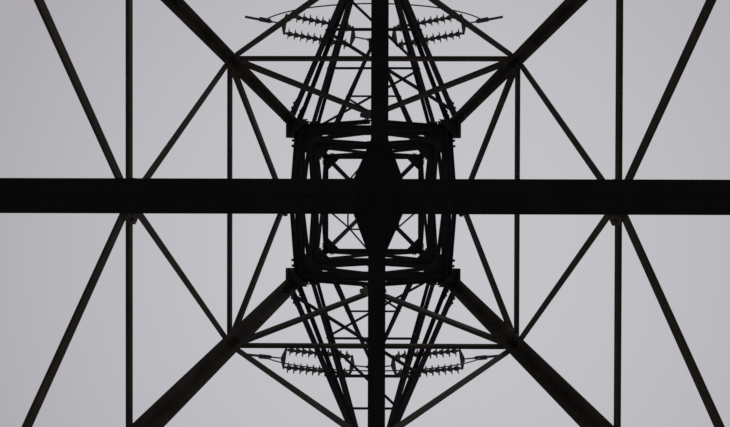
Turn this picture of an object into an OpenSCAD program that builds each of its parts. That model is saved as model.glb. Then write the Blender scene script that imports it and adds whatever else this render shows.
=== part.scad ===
// Lattice transmission pylon: a battered four-legged body, an upright upper body with six
// crossarms in three tiers, a peak for the earth wire, and two double tension strings at each
// crossarm's tip. The line runs along X, the crossarms along Y, and the ground is z = 0.

/* [Body widths] */
// Width of the leg square at the ground, over the heels
base_w = 7180; // [6400:20:8000]
// Width of the upright upper body, over the heels
body_w = 2440; // [2200:20:2700]

/* [Heights] */
// Height of the open base bay, up to the plan beams
base_bay_h = 6300; // [5600:50:7000]
// Height of the bay above the plan beams
bay_a_h = 2360; // [2100:20:2600]
// Height of the next bay up
bay_b_h = 2470; // [2200:10:2700]
// Height of the bay under the waist
bay_c_h = 2370; // [2200:10:2700]
// Rise from the lower crossarms to the middle ones
lower_pitch = 3350; // [3100:10:3700]
// Rise from the middle crossarms to the upper ones
upper_pitch = 3900; // [3600:10:4200]
// Depth of a crossarm at its root
arm_h = 1100; // [1000:10:1250]
// Rise from the upper body's top to the peak's tip
peak_h = 5500; // [4800:20:6200]
// Rise from the upper body's top to the peak's belt
peak_belt_h = 2650; // [2400:10:2900]
// Height of the base bay's short level struts
base_strut_h = 3280; // [3000:20:3600]

/* [Crossarms] */
// Reach of the lower crossarms from the tower's axis
lower_reach = 4040; // [3800:10:4400]
// Reach of the middle crossarms
middle_reach = 5300; // [5000:10:5700]
// Reach of the upper crossarms
upper_reach = 3800; // [3600:10:4200]
// Distance of the inner struts from the tower's axis
strut_reach = 2500; // [2300:10:2700]
// Distance of the middle crossarms' outer strut from the axis
outer_strut_reach = 3800; // [3600:10:4000]

/* [Angle bars] */
// Flange width of the two front legs
front_leg_w = 110; // [100:5:130]
// Flange width of the two back legs
back_leg_w = 150; // [130:5:165]
// Thickness of the leg angles
leg_t = 12; // [9:1:14]
// Flange width of the upper body's posts
post_w = 110; // [100:5:125]
// Thickness of the post angles
post_t = 9; // [8:1:12]
// Flange width of the horizontal belts
belt_w = 63; // [56:1:68]
// Flange width of the belt at the plan beams
plan_belt_w = 80; // [75:1:90]
// Flange width of the braces in the bay above the plan beams
lower_brace_w = 75; // [68:1:80]
// Flange width of the braces in the next bay up
brace_w = 75; // [68:1:80]
// Flange width of the braces under the waist
waist_brace_w = 85; // [75:1:90]
// Flange width of the long braces in the base bay
base_brace_w = 90; // [80:1:100]
// Flange width of the short struts in the base bay
stub_brace_w = 56; // [50:1:63]
// Flange width of the crossarms' bottom chords
bottom_chord_w = 80; // [75:1:90]
// Flange width of the crossarms' top chords
top_chord_w = 66; // [60:1:72]
// Flange width of the crossarms' struts and lacing
lacing_w = 45; // [40:1:50]
// Flange width of the upper body's zigzag braces
zigzag_w = 63; // [56:1:70]
// Flange width of the upper body's heavy belts
heavy_belt_w = 90; // [80:1:100]
// Flange width of the upper body's light belts
light_belt_w = 70; // [63:1:75]
// Flange width of the top belt
top_belt_w = 110; // [100:1:115]
// Flange width of the peak's legs
peak_leg_w = 80; // [75:1:90]
// Thickness of the peak's leg angles
peak_leg_t = 8; // [7:1:9]
// Flange width of the peak's belt
peak_belt_w = 45; // [40:1:50]
// Width of the peak's top, over the legs' heels
peak_top_w = 190; // [176:2:220]
// Flange width of each of the plan beams' angles
plan_bar_w = 99; // [90:1:105]
// Thickness of the bracing angles
bar_t = 7; // [6:1:8]
// Thickness of the gusset and splice plates
plate_t = 8; // [7:1:10]
// Reach of the splice plates on each side of the waist
splice_l = 330; // [280:10:380]
// Side of the corner plates at the waist
waist_plate_w = 270; // [240:10:300]
// Side of the corner plates on the top belt
top_plate_w = 410; // [360:10:460]

/* [Feet] */
// Side of a foot's base plate
foot_w = 460; // [420:10:520]
// Thickness of a foot's base plate
foot_t = 30; // [25:1:36]
// Spacing of the four anchor holes in a foot
anchor_pitch = 320; // [280:10:350]
// Diameter of an anchor hole
anchor_d = 42; // [36:1:48]
// Height of the shoe plates that grip a leg
shoe_h = 520; // [440:10:600]
// Distance of a foot's centre inside the heel of its leg
foot_inset = 60; // [50:5:80]

/* [Tension strings] */
// Diameter of the pins in the tip plates
pin_d = 22; // [18:1:26]
// Thickness of the tip plates
tip_plate_t = 16; // [12:1:20]
// Number of discs in a string
disc_count = 10; // [8:1:12]
// Pitch of the discs along a string
disc_pitch = 146; // [140:1:152]
// Diameter of a disc
disc_d = 255; // [240:1:280]
// Distance between a set's two strings
string_gap = 400; // [380:5:450]
// Angle by which a string dips below the level
string_dip = 12; // [8:1:16]
// Angle by which the line turns to the front at the pylon, on each side
line_turn = 8; // [4:1:12]
// Distance from a crossarm's tip to the inner yoke
link_l = 410; // [380:10:460]
// Length of a dead-end clamp
clamp_l = 620; // [560:10:700]
// Drop of a jumper loop below its two ends
jumper_drop = 1500; // [1200:20:1800]
// Diameter of a clamp's bore for the conductor
conductor_d = 24; // [20:1:28]

/* [Hidden] */
// Clearance between two pieces that are bolted together
fit_gap = 0.3;
// Depth to which the bars and plates of one piece run into each other
bite = 0.6;
$fn = 32;

weathered_steel = "#3a3730";
body_steel = "#35342f";
glass_disc = "#39413d";
cast_fitting = "#3b3a36";

// Heights of the belts and crossarms
belt_a_z = base_bay_h + bay_a_h;
belt_b_z = belt_a_z + bay_b_h;
waist_z = belt_b_z + bay_c_h;
middle_z = waist_z + lower_pitch;
upper_z = middle_z + upper_pitch;
top_z = upper_z + arm_h;
peak_z = top_z + peak_h;
post_top = top_z + 60;

// Lean of the battered body and of the peak: run for each unit of rise, and angle
half_body = body_w / 2;
k_body = (base_w / 2 - half_body) / waist_z;
batter = atan(k_body);
k_peak = (half_body - peak_top_w / 2) / (peak_z - post_top);
peak_batter = atan(k_peak);

// Heel distance from the axis at a height, and the way up the sloping side to that height
function half_at(z) = base_w / 2 - k_body * z;
function slope(z) = z / cos(batter);
function peak_half(z) = half_body - k_peak * (z - post_top);
function peak_slope(z) = z / cos(peak_batter);

// Angle section with its heel at the origin, its flanges along x and at the opening angle
function angle_section(w, t, open = 90) = let (inner = t * (1 + cos(open)) / sin(open)) [
    [0, 0], [w, 0], [w, t], [inner, t],
    [w * cos(open) + t * sin(open), w * sin(open) - t * cos(open)],
    [w * cos(open), w * sin(open)]
];

// An angle bar of a panel: it runs from a to b in the panel's plane with its flat flange centred
// on that line. The other flange stands out of the plane, on the right of the line where turn is
// 1 and on the left where it is -1, and stops short of the bar's end b
cope = 6;
function bar(a, b, w, turn = 1, short = cope) = [a, b, w, turn, short];

// Outline of a strip beside the line from a to b
function strip(a, b, low, high, short_a = 0, short_b = 0) =
    let (d = (b - a) / norm(b - a), n = [-d.y, d.x]) [
        a + short_a * d + low * n, b - short_b * d + low * n,
        b - short_b * d + high * n, a + short_a * d + high * n
    ];

// Bars of one panel, fused where they cross
module bars(list) {
    linear_extrude(bar_t) for (b = list) polygon(strip(b[0], b[1], -b[2] / 2, b[2] / 2));
    for (b = list) translate([0, 0, bar_t - bite]) linear_extrude(b[2] - bar_t + bite)
        polygon(strip(b[0], b[1], -b[3] * b[2] / 2, b[3] * (bar_t - b[2] / 2), cope, b[4]));
}

// Flat plate of a given outline, from z up by t
module plate(points, z, t = plate_t) translate([0, 0, z]) linear_extrude(t) polygon(points);

// Mirrors a front-left piece to any corner: sx and sy are the signs of its corner
module at_corner(sx, sy) mirror([sx > 0 ? 1 : 0, 0, 0]) mirror([0, sy > 0 ? 1 : 0, 0]) children();

// Puts a piece on the front and on the left face of the front-left corner
module both_faces() {
    children();
    mirror([1, -1, 0]) children();
}

// Puts a panel drawn in x, y and outward z on one side; 0 is front, 1 right, 2 back, 3 left
module on_lower_side(k)
    rotate([0, 0, 90 * k]) translate([0, -half_at(0), 0]) rotate([90 - batter, 0, 0]) children();
module on_upper_side(k)
    rotate([0, 0, 90 * k]) translate([0, -half_body, 0]) rotate([90, 0, 0]) children();
module on_peak_side(k)
    rotate([0, 0, 90 * k]) translate([0, -peak_half(0), 0]) rotate([90 - peak_batter, 0, 0])
        children();

// Corner leg that leans inwards by k each way, from z0 up to z1. Its flanges lie in the two
// sloping sides, so they open a little past square. Its heel is h from the axis at height 0
module leaning_leg(w, t, k, h, z0, z1) {
    lean = atan(k);
    dir = [k, k, 1] / norm([k, k, 1]);
    front = [0, -cos(lean), sin(lean)];
    left = [-cos(lean), 0, sin(lean)];
    x = cross(dir, front) / norm(cross(dir, front));
    y = cross(dir, x);
    other = cross(left, dir) / norm(cross(left, dir));
    heel = -h + k * (z0 - w);
    intersection() {
        multmatrix([
            [x.x, y.x, dir.x, heel], [x.y, y.y, dir.y, heel], [x.z, y.z, dir.z, z0 - w],
            [0, 0, 0, 1]
        ]) linear_extrude((z1 - z0 + 2 * w) / dir.z)
            polygon(angle_section(w, t, acos(x * other)));
        translate([-2 * h, -2 * h, z0]) cube([2 * h, 2 * h, z1 - z0]);
    }
}

module leg(sx, sy) color(weathered_steel) at_corner(sx, sy)
    leaning_leg(leg_w(sy), leg_t, k_body, half_at(0), foot_t + fit_gap, waist_z - fit_gap);
function leg_w(sy) = sy > 0 ? back_leg_w : front_leg_w;

// Foot: a base plate with four anchor holes, and two shoe plates outside the leg's flanges
foot_centre = half_at(0) - foot_inset;
shoe_flare = 1.4;
module foot(sx, sy) color(weathered_steel) at_corner(sx, sy) {
    w = leg_w(sy);
    translate([-foot_centre, -foot_centre, 0]) difference() {
        translate([-foot_w / 2, -foot_w / 2, 0]) cube([foot_w, foot_w, foot_t]);
        for (i = [-1, 1], j = [-1, 1])
            translate([i * anchor_pitch / 2, j * anchor_pitch / 2, -1])
                cylinder(d = anchor_d, h = foot_t + 2);
    }
    both_faces() on_lower_side(0) plate([
        [-half_at(0) + leg_t, slope(foot_t - bite)],
        [-half_at(0) + shoe_flare * w, slope(foot_t - bite)],
        [-half_at(0) + shoe_flare * w, slope(foot_t + shoe_h / 3)],
        [-half_at(shoe_h) + w, slope(shoe_h)], [-half_at(shoe_h) + leg_t, slope(shoe_h)]
    ], fit_gap);
}

// A point of a battered side: distance across and height
function on_side(x, z) = [x, slope(z)];

// Base bay of one side: a long brace and two short struts in each half, as separate pieces on
// the outside of the gusset
toe_inset = 100;
knee_inset = 150;
module base_bracing(k) color(weathered_steel) on_lower_side(k) for (side = [-1, 1]) {
    toe = [half_at(shoe_h) - toe_inset, shoe_h + base_brace_w];
    knee = [knee_inset, base_bay_h - plan_belt_w];
    joint = on_side(
        side * (toe.x + (knee.x - toe.x) * (base_strut_h - toe.y) / (knee.y - toe.y)), base_strut_h
    );
    translate([0, 0, 2 * fit_gap + bite]) bars([
        bar(on_side(side * toe.x, toe.y), on_side(side * knee.x, knee.y), base_brace_w, side),
        bar(on_side(side * (half_at(base_strut_h) - stub_brace_w), base_strut_h), joint,
            stub_brace_w, side),
        bar(on_side(side * (half_at(base_bay_h) - stub_brace_w), base_bay_h - 2 * stub_brace_w),
            joint, stub_brace_w, side)
    ]);
}

// Side of the battered body: three belts, braces between their middles and the legs, gussets.
// Each brace lies on the line between a point of the leg and a point near the middle, and stops
// short of either
belt_inset = 20;
leg_inset = 30;
foot_trim = 60;
middle_trim = 95;
fork_lap = 15;
fork_drop = 80;
fork_rise = 40;
throat_lap = 60;
throat_trim = 35;
throat_w = 190;
throat_drop = 430;
plan_gusset = [520, 400];
belt_gusset = [400, 340];
function reaching(p, q, before, after) =
    let (d = (q - p) / norm(q - p)) [p + before * d, q - after * d];
function brace(p, q, before, after, w, side) = let (ends = reaching(
    on_side(side * p.x, p.y), on_side(side * q.x, q.y), before, after
)) bar(ends[0], ends[1], w, side);

module lower_side(k) color(weathered_steel) on_lower_side(k) {
    translate([0, 0, fit_gap]) bars(concat(
        [lower_belt(base_bay_h, plan_belt_w), lower_belt(belt_a_z, belt_w),
            lower_belt(belt_b_z, belt_w)],
        [for (side = [-1, 1]) brace([half_at(base_bay_h) - leg_inset, base_bay_h], [0, belt_a_z],
            foot_trim, middle_trim, lower_brace_w, side)],
        [for (side = [-1, 1]) brace([half_at(belt_b_z) - leg_inset, belt_b_z - fork_drop],
            [0, belt_a_z], -fork_lap, middle_trim, brace_w, side)],
        [for (side = [-1, 1]) brace([half_at(belt_b_z) - leg_inset, belt_b_z + fork_rise],
            [-throat_lap, waist_z - throat_trim], 0, 0, waist_brace_w, side)]
    ));
    mid_gusset(base_bay_h, plan_gusset);
    mid_gusset(belt_a_z, belt_gusset);
    w = throat_w;
    low = slope(waist_z - throat_drop);
    plate([
        [-w / 2, low], [w / 2, low], [w, low + w], [w, slope(waist_z) - w / 2],
        [w / 2, slope(waist_z) - fit_gap], [-w / 2, slope(waist_z) - fit_gap],
        [-w, slope(waist_z) - w / 2], [-w, low + w]
    ], fit_gap - plate_t + bite);
}

function lower_belt(z, w) =
    bar(on_side(belt_inset - half_at(z), z), on_side(half_at(z) - belt_inset, z), w, -1);

// Eight-sided gusset behind the middle of a belt
module mid_gusset(z, size) let (w = size.x, h = size.y) plate([
    [-w / 2, slope(z) - h / 5], [-w / 4, slope(z) - h / 2], [w / 4, slope(z) - h / 2],
    [w / 2, slope(z) - h / 5], [w / 2, slope(z) + h / 5], [w / 4, slope(z) + h / 2],
    [-w / 4, slope(z) + h / 2], [-w / 2, slope(z) + h / 5]
], fit_gap - plate_t + bite);

// Plan beam: two angles back to back along X. Plan bars: one angle along Y on each side of it,
// with its upright flange cut away over the centre plates
beam_gap = 1;
bar_shift = 7;
cross_x = 29;
cross_y = -20;
centre_plate_l = 325;
centre_plate_w = 280;
beam_edge = beam_gap + plan_bar_w;
plan_reach = half_at(base_bay_h + plan_bar_w) - (plate_t - bite - fit_gap) / cos(batter) - fit_gap
    + cope;

module plan_beam() color(weathered_steel) translate([0, cross_y, base_bay_h]) bars([
    for (side = [-1, 1]) bar([-plan_reach, side * (beam_edge + beam_gap) / 2],
        [plan_reach, side * (beam_edge + beam_gap) / 2], plan_bar_w, side)
]);

module plan_bars() color(weathered_steel) for (turn = [0, 180])
    translate([cross_x, 0, base_bay_h]) rotate([0, 0, turn]) translate([bar_shift, 0, 0]) bars([
        bar([0, -plan_reach], [0, cross_y * cos(turn) - beam_edge - fit_gap], plan_bar_w, 1,
            centre_plate_l - beam_edge)
    ]);

module centre_plates() color(weathered_steel) translate([cross_x, cross_y, 0]) for (turn = [0, 180])
    rotate([0, 0, turn]) {
        w = centre_plate_w / 2;
        plate([
            [-w, -beam_gap - 2 * bar_t], [w, -beam_gap - 2 * bar_t], [w, -beam_edge],
            [bar_shift + plan_bar_w / 2, -centre_plate_l],
            [bar_shift - plan_bar_w / 2, -centre_plate_l], [-w, -beam_edge]
        ], base_bay_h + bar_t + fit_gap);
    }

// Posts of the upright body, with the splice plates that lap the legs and the peak's legs
edge = 4;
bend = 3;
peak_splice_l = 165;
module post(sx, sy) color(body_steel) at_corner(sx, sy) {
    translate([-half_body, -half_body, waist_z]) linear_extrude(post_top - waist_z)
        polygon(angle_section(post_w, post_t));
    both_faces() {
        splice_leaf(waist_z, waist_z + splice_l, post_w);
        on_lower_side(0) plate(leaf(half_at(waist_z - splice_l), slope(waist_z - splice_l),
            half_body, slope(waist_z) + bend, post_w), fit_gap);
        splice_leaf(post_top - peak_splice_l, post_top, peak_leg_w);
        on_peak_side(0) plate(leaf(half_body, peak_slope(post_top) - bend,
            peak_half(post_top + peak_splice_l), peak_slope(post_top + peak_splice_l),
            peak_leg_w), fit_gap);
    }
}

module splice_leaf(z0, z1, w)
    on_upper_side(0) plate(leaf(half_body, z0, half_body, z1, w), -bite, plate_t + bite);

// Outline of a plate along a heel that is h0 from the middle at y0 and h1 at y1
function leaf(h0, y0, h1, y1, w) = [
    [-h0 + edge, y0], [-h0 + w - edge, y0], [-h1 + w - edge, y1], [-h1 + edge, y1]
];

// Side of the upright body, inside the posts: belts and a zigzag between them, trimmed to the
// mitre with the next side
belt_rise = 900;
belt_1_z = waist_z + belt_rise;
belt_2_z = waist_z + 1850;
belt_3_z = middle_z + belt_rise;
belt_4_z = middle_z + 2000;
inside = -post_t - fit_gap;
side_end = half_body - post_t - 2 * fit_gap - bar_t;
node_inset = 60;
node_x = side_end - node_inset;
node_drop = 40;
apex_x = 60;

module upper_side(k) color(body_steel) on_upper_side(k) {
    intersection() {
        translate([0, 0, inside]) mirror([0, 0, 1]) bars(concat(
            [upper_belt(belt_1_z, heavy_belt_w), upper_belt(belt_2_z, light_belt_w),
                upper_belt(belt_3_z, heavy_belt_w), upper_belt(belt_4_z, light_belt_w),
                upper_belt(top_z - top_belt_w, top_belt_w)],
            zigzag(-1), zigzag(1)
        ));
        mitre_space();
    }
    apex_gusset(waist_z + zigzag_w);
    apex_gusset(upper_z);
}

function upper_belt(z, w) = bar([-side_end, z + w / 2], [side_end, z + w / 2], w, -1);

// Bars that go from the middle to the posts and back, all the way up
function zigzag(side) = let (path = [
    [apex_x, waist_z + zigzag_w], [node_x, belt_1_z - node_drop],
    [apex_x, belt_2_z - node_drop], [node_x, middle_z], [apex_x, belt_3_z + node_drop],
    [node_x, belt_4_z], [apex_x, upper_z], [node_x, top_z - 2 * node_drop]
]) [for (i = [0 : len(path) - 2]) bar([side * path[i].x, path[i].y],
    [side * path[i + 1].x, path[i + 1].y], zigzag_w, side * (i % 2 == 0 ? -1 : 1))];

// Space that one side may take up: square as far in as its flat flanges, then mitred
module mitre_space() {
    deep = 2 * top_belt_w;
    translate([0, post_top, 0]) rotate([90, 0, 0]) linear_extrude(post_top - waist_z) polygon([
        [-side_end, 0], [side_end, 0], [side_end, inside - bar_t],
        [side_end + bar_t - deep, inside - deep], [deep - bar_t - side_end, inside - deep],
        [-side_end, inside - bar_t]
    ]);
}

// Gusset behind the point where two zigzags meet: w wide and h high, with its upper corners cut
module apex_gusset(z) let (w = 300, h = 190, cut = 60) plate([
    [-w / 2, z - cut], [w / 2, z - cut], [w / 2, z + cut], [w / 2 - cut, z + h - cut],
    [cut - w / 2, z + h - cut], [-w / 2, z + cut]
], inside - bar_t - plate_t + bite);

// Level plates that stiffen the posts' corners at the waist and over the top belt
module corner_plates() color(body_steel) for (k = [0 : 3]) rotate([0, 0, 90 * k]) {
    corner_plate(waist_z + plate_t, waist_plate_w);
    corner_plate(top_z + fit_gap, top_plate_w);
}

module corner_plate(z, w) {
    heel = half_body - post_t - fit_gap;
    plate([[-heel, -heel], [-heel + w, -heel], [-heel, -heel + w]], z);
}

// Crossarm pointing to the front or back: two upright side trusses, a laced floor and a tip
// plate. Each truss has root plates on the posts, packed out where no splice plate lies below
root = [half_body + plate_t + fit_gap, -half_body];
root_bend = 10;
tip_x = 24;
tip_step = 20;
chord_start = 60;
chord_clear = 20;
root_plate_h = 200;
root_plate_lap = 190;
root_plate_l = 300;
root_plate_rise = 60;

module arm(z, reach, struts, back, first, packed) color(body_steel)
    rotate([0, 0, back ? 180 : 0]) translate([0, 0, z]) {
        tip = [tip_x, -reach];
        for (side = [0, 1]) mirror([side, 0, 0]) {
            arm_truss(tip, struts);
            root_plate(tip, 0, packed[0]);
            root_plate(tip, arm_h - root_plate_h + root_plate_rise, packed[1]);
        }
        arm_floor(tip, struts, first);
        tip_plate(reach);
    }

// Distance of a truss's outside from the middle plane, at y outwards from the axis
function arm_x(tip, y) = root.x + (tip.x - root.x) * (y + root.y) / (root.y - tip.y);

module arm_truss(tip, struts) {
    reach = norm(tip - root);
    tip_rise = bottom_chord_w + tip_step;
    taper = reach / (root.x - tip.x);
    function stop(w) = (w - tip.x + chord_clear) * taper;
    translate(root) rotate([0, 0, atan2(tip.y - root.y, tip.x - root.x)]) rotate([90, 0, 0])
        bars(concat(
            [bar([chord_start, bottom_chord_w / 2], [reach, bottom_chord_w / 2],
                bottom_chord_w, 1, stop(bottom_chord_w))],
            [bar([chord_start, arm_h], [reach, tip_rise], top_chord_w, -1,
                stop(top_chord_w))],
            [for (y = struts) let (u = (y + root.y) / (root.y - tip.y) * reach)
                bar([u, bottom_chord_w - strut_gap],
                    [u, arm_h + (tip_rise - arm_h) * (u - chord_start) / (reach - chord_start)],
                    lacing_w, 1)]
        ));
}

// Plate that carries a chord: it laps the post's side and bends to follow the chord
module root_plate(tip, z, packed) {
    dir = (tip - root) / norm(tip - root);
    across = [-dir.y, dir.x];
    far = root + root_plate_l * dir;
    inner_x = packed ? root.x : half_body + fit_gap;
    translate([0, 0, z]) linear_extrude(root_plate_h) polygon([
        [inner_x, root.y + root_plate_lap], root + [plate_t, root_plate_lap], root + [plate_t, 0],
        far + plate_t * across, far - bite * across, root + root_bend * dir - bite * across,
        [inner_x, root.y]
    ]);
}

// Floor of an arm, on the bottom chords' flat flanges: struts and one diagonal before each
strut_gap = 20;
lace_before = 40;
lace_after = 130;
module arm_floor(tip, struts, first) translate([0, 0, bar_t + fit_gap]) {
    stops = concat([half_body], struts);
    bars(concat(
        [for (y = struts) bar([strut_gap - arm_x(tip, y), -y], [arm_x(tip, y) - strut_gap, -y],
            lacing_w)],
        [for (i = [1 : len(struts)])
            let (side = first * (i % 2 == 0 ? -1 : 1), y0 = stops[i - 1] + lace_after,
                y1 = stops[i] - lace_before)
            bar([side * (arm_x(tip, y0) - lacing_w), -y0],
                [-side * (arm_x(tip, y1) - lacing_w), -y1], lacing_w)]
    ));
}

// Tip plate below the chords, with a hole for each string set's pin
pin_x = 75;
pin_eye = 45;
tip_plate_w = 220;
tip_plate_l = 260;
module tip_plate(reach) difference() {
    plate([
        [-tip_plate_w / 2, -reach + tip_plate_l], [tip_plate_w / 2, -reach + tip_plate_l],
        [pin_x + pin_eye, -reach + pin_eye],
        [pin_x + pin_eye, -reach - pin_eye / 2], [pin_x + pin_eye / 2, -reach - pin_eye],
        [-pin_x - pin_eye / 2, -reach - pin_eye], [-pin_x - pin_eye, -reach - pin_eye / 2],
        [-pin_x - pin_eye, -reach + pin_eye]
    ], -fit_gap - tip_plate_t, tip_plate_t);
    for (side = [-1, 1]) translate([side * pin_x, -reach, -2 * tip_plate_t])
        cylinder(d = pin_d + 2 * fit_gap, h = 3 * tip_plate_t);
}

// Peak: four leaning legs on the posts, a belt round them and a head with two earth-wire holes
head_t = 16;
lug_h = 110;
lug_x = 150;
head_z = peak_z - lug_h - head_t;
head_plate_h = 200;
head_w = peak_top_w + 100;
peak_belt_inset = 15;

module peak_legs() color(body_steel) for (sx = [-1, 1], sy = [-1, 1]) at_corner(sx, sy)
    leaning_leg(peak_leg_w, peak_leg_t, k_peak, peak_half(0), post_top + fit_gap, head_z - fit_gap);

module peak_belt() color(body_steel) for (k = [0 : 3]) on_peak_side(k) {
    z = top_z + peak_belt_h;
    half = peak_half(z) - peak_belt_inset;
    translate([0, 0, fit_gap])
        bars([bar([-half, peak_slope(z)], [half, peak_slope(z)], peak_belt_w, -1)]);
}

module peak_head() color(body_steel) {
    translate([-head_w / 2, -head_w / 2, head_z]) cube([head_w, head_w, head_t]);
    for (k = [0 : 3]) on_peak_side(k) {
        low = head_z - head_plate_h;
        plate([
            [-peak_half(low) + edge, peak_slope(low)], [peak_half(low) - edge, peak_slope(low)],
            [peak_half(head_z) - edge, peak_slope(head_z) + bite],
            [-peak_half(head_z) + edge, peak_slope(head_z) + bite]
        ], fit_gap);
    }
    difference() {
        translate([-lug_x - lug_h / 2, -head_t / 2, head_z + head_t - bite])
            cube([2 * lug_x + lug_h, head_t, lug_h + bite]);
        for (side = [-1, 1]) translate([side * lug_x, head_t, head_z + head_t + lug_h / 2])
            rotate([90, 0, 0]) cylinder(d = pin_d, h = 2 * head_t);
    }
}

// One of the two string sets at a crossarm's tip: side is its direction along the line
yoke_depth = 80;
module set_out(z, y, side) translate([side * pin_x, y, z - fit_gap - tip_plate_t / 2])
    rotate([0, 0, side > 0 ? -line_turn : 180 + line_turn]) children();

module strings(z, reach) color(glass_disc) for (y = [-reach, reach], side = [-1, 1])
    set_out(z, y, side) rotate([0, string_dip, 0]) for (across = [-1, 1])
        translate([link_l + yoke_depth, across * string_gap / 2, 0]) rotate([0, 90, 0])
            disc_string();

// One string: caps and pins with a glass shed between them
string_l = disc_count * disc_pitch;
cap_r = 46;
stem_r = 14;
module disc_string() {
    r = disc_d / 2;
    rotate_extrude($fn = 48) polygon(concat(
        [[0, 0]],
        [for (i = [0 : disc_count - 1], p = [
            [stem_r, 0], [cap_r - 6, 10], [cap_r, 58], [r, 86], [r, 96], [r - 22, 94],
            [cap_r - 10, 82], [stem_r, 90]
        ]) [p.x, p.y + i * disc_pitch]],
        [[stem_r, string_l], [0, string_l]]
    ));
}

// Fittings of a string set: fork, link and inner yoke, then outer yoke, link and clamp
module fittings(z, reach) color(cast_fitting) for (y = [-reach, reach], side = [-1, 1])
    set_out(z, y, side) {
        fork();
        rotate([0, string_dip, 0]) {
            rod(fork_end / 2, link_l, link_d);
            yoke(link_l, 1);
            yoke(outer_x, -1);
            rod(outer_x, outer_x + outer_link_l, link_d);
            clamp(clamp_x);
        }
    }

link_d = 32;
outer_x = link_l + 2 * yoke_depth + string_l;
outer_link_l = 280;
clamp_x = outer_x + outer_link_l - 20;
clamp_d = 56;
bore_l = 300;

// Palm under a clamp: how far along it starts, its length and width, and its underside's depth
palm_x = 40;
palm_l = 260;
palm_w = 90;
palm_z = 60;

// Jumper loops: a formed conductor that hangs below each tip from one clamp's palm to the other's,
// with a flat lug on each end
lug_t = 14;
jumper_d = 28;
jumper_x = clamp_x + palm_x + palm_l / 2;
jumper_z = palm_z + fit_gap + lug_t / 2;
jumper_out = jumper_x * cos(string_dip) - jumper_z * sin(string_dip);
jumper_half = pin_x + jumper_out * cos(line_turn);
jumper_r = (jumper_half * jumper_half + jumper_drop * jumper_drop) / (2 * jumper_drop);
jumper_sweep = asin(jumper_half / jumper_r);

module jumper_loops(z, reach) color(cast_fitting) for (y = [-reach, reach]) {
    translate([
        0, y - jumper_out * sin(line_turn),
        z - fit_gap - tip_plate_t / 2 - jumper_x * sin(string_dip) - jumper_z * cos(string_dip)
            - jumper_drop + jumper_r
    ]) rotate([90, 0, 0]) rotate([0, 0, -90 - jumper_sweep])
        rotate_extrude(angle = 2 * jumper_sweep, $fn = 96) translate([jumper_r, 0])
            circle(d = jumper_d, $fn = 16);
    for (side = [-1, 1]) set_out(z, y, side) rotate([0, string_dip, 0])
        translate([jumper_x - palm_l / 2, -palm_w / 2, -jumper_z - lug_t / 2])
            cube([palm_l, palm_w, lug_t]);
}

module rod(x0, x1, d) translate([x0, 0, 0]) rotate([0, 90, 0]) cylinder(d = d, h = x1 - x0);

// Fork round the tip plate, with its pin: two ears and the web that joins them
fork_start = -30;
fork_end = 80;
fork_w = 52;
ear_t = 12;
web_t = 24;
module fork() {
    inner = tip_plate_t / 2 + fit_gap;
    for (z = [inner, -inner - ear_t])
        translate([fork_start, -fork_w / 2, z]) cube([fork_end - fork_start, fork_w, ear_t]);
    translate([fork_end - web_t, -fork_w / 2, -inner - bite])
        cube([web_t, fork_w, 2 * (inner + bite)]);
    translate([0, 0, -inner - bite]) cylinder(d = pin_d, h = 2 * (inner + bite));
}

// Yoke plate at x with its two sockets towards the strings, on the side given by s
yoke_t = 18;
yoke_edge = 20;
yoke_nose = [50, 70];
socket_d = 40;
module yoke(x, s) {
    half = string_gap / 2 + socket_d;
    near = x + s * 2 * yoke_edge;
    far = x + s * (yoke_depth - fit_gap);
    translate([x, 0, -yoke_t / 2]) linear_extrude(yoke_t) polygon([
        [-s * yoke_nose.x, -yoke_nose.y / 2], [-s * yoke_nose.x, yoke_nose.y / 2],
        [s * yoke_edge, half], [s * 3 * yoke_edge, half], [s * 3 * yoke_edge, -half],
        [s * yoke_edge, -half]
    ]);
    for (across = [-1, 1]) translate([0, across * string_gap / 2, 0])
        rod(min(near, far), max(near, far), socket_d);
}

// Dead-end clamp with its bore for the conductor and a flat palm below for the jumper
module clamp(x) difference() {
    union() {
        rod(x, x + clamp_l, clamp_d);
        translate([x + palm_x, -palm_w / 2, -palm_z]) cube([palm_l, palm_w, palm_z]);
    }
    rod(x + clamp_l - bore_l, x + clamp_l + 1, conductor_d);
}

leg(-1, -1);  // leg_front_left
leg(1, -1);  // leg_front_right
leg(-1, 1);  // leg_back_left
leg(1, 1);  // leg_back_right
foot(-1, -1);  // foot_front_left
foot(1, -1);  // foot_front_right
foot(-1, 1);  // foot_back_left
foot(1, 1);  // foot_back_right
base_bracing(0);  // base_bracing_front
base_bracing(1);  // base_bracing_right
base_bracing(2);  // base_bracing_back
base_bracing(3);  // base_bracing_left
lower_side(0);  // lower_side_front
lower_side(1);  // lower_side_right
lower_side(2);  // lower_side_back
lower_side(3);  // lower_side_left
plan_beam();
plan_bars();
centre_plates();
post(-1, -1);  // post_front_left
post(1, -1);  // post_front_right
post(-1, 1);  // post_back_left
post(1, 1);  // post_back_right
upper_side(0);  // upper_side_front
upper_side(1);  // upper_side_right
upper_side(2);  // upper_side_back
upper_side(3);  // upper_side_left
corner_plates();
arm(waist_z, lower_reach, [strut_reach], false, 1, [true, false]);  // lower_arm_front
arm(waist_z, lower_reach, [strut_reach], true, 1, [true, false]);  // lower_arm_back
arm(middle_z, middle_reach, [strut_reach, outer_strut_reach], false, -1, [false, false]);  // middle_arm_front
arm(middle_z, middle_reach, [strut_reach, outer_strut_reach], true, -1, [false, false]);  // middle_arm_back
arm(upper_z, upper_reach, [strut_reach], false, 1, [false, true]);  // upper_arm_front
arm(upper_z, upper_reach, [strut_reach], true, 1, [false, true]);  // upper_arm_back
peak_legs();
peak_belt();
peak_head();
strings(waist_z, lower_reach);  // lower_strings
strings(middle_z, middle_reach);  // middle_strings
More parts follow.
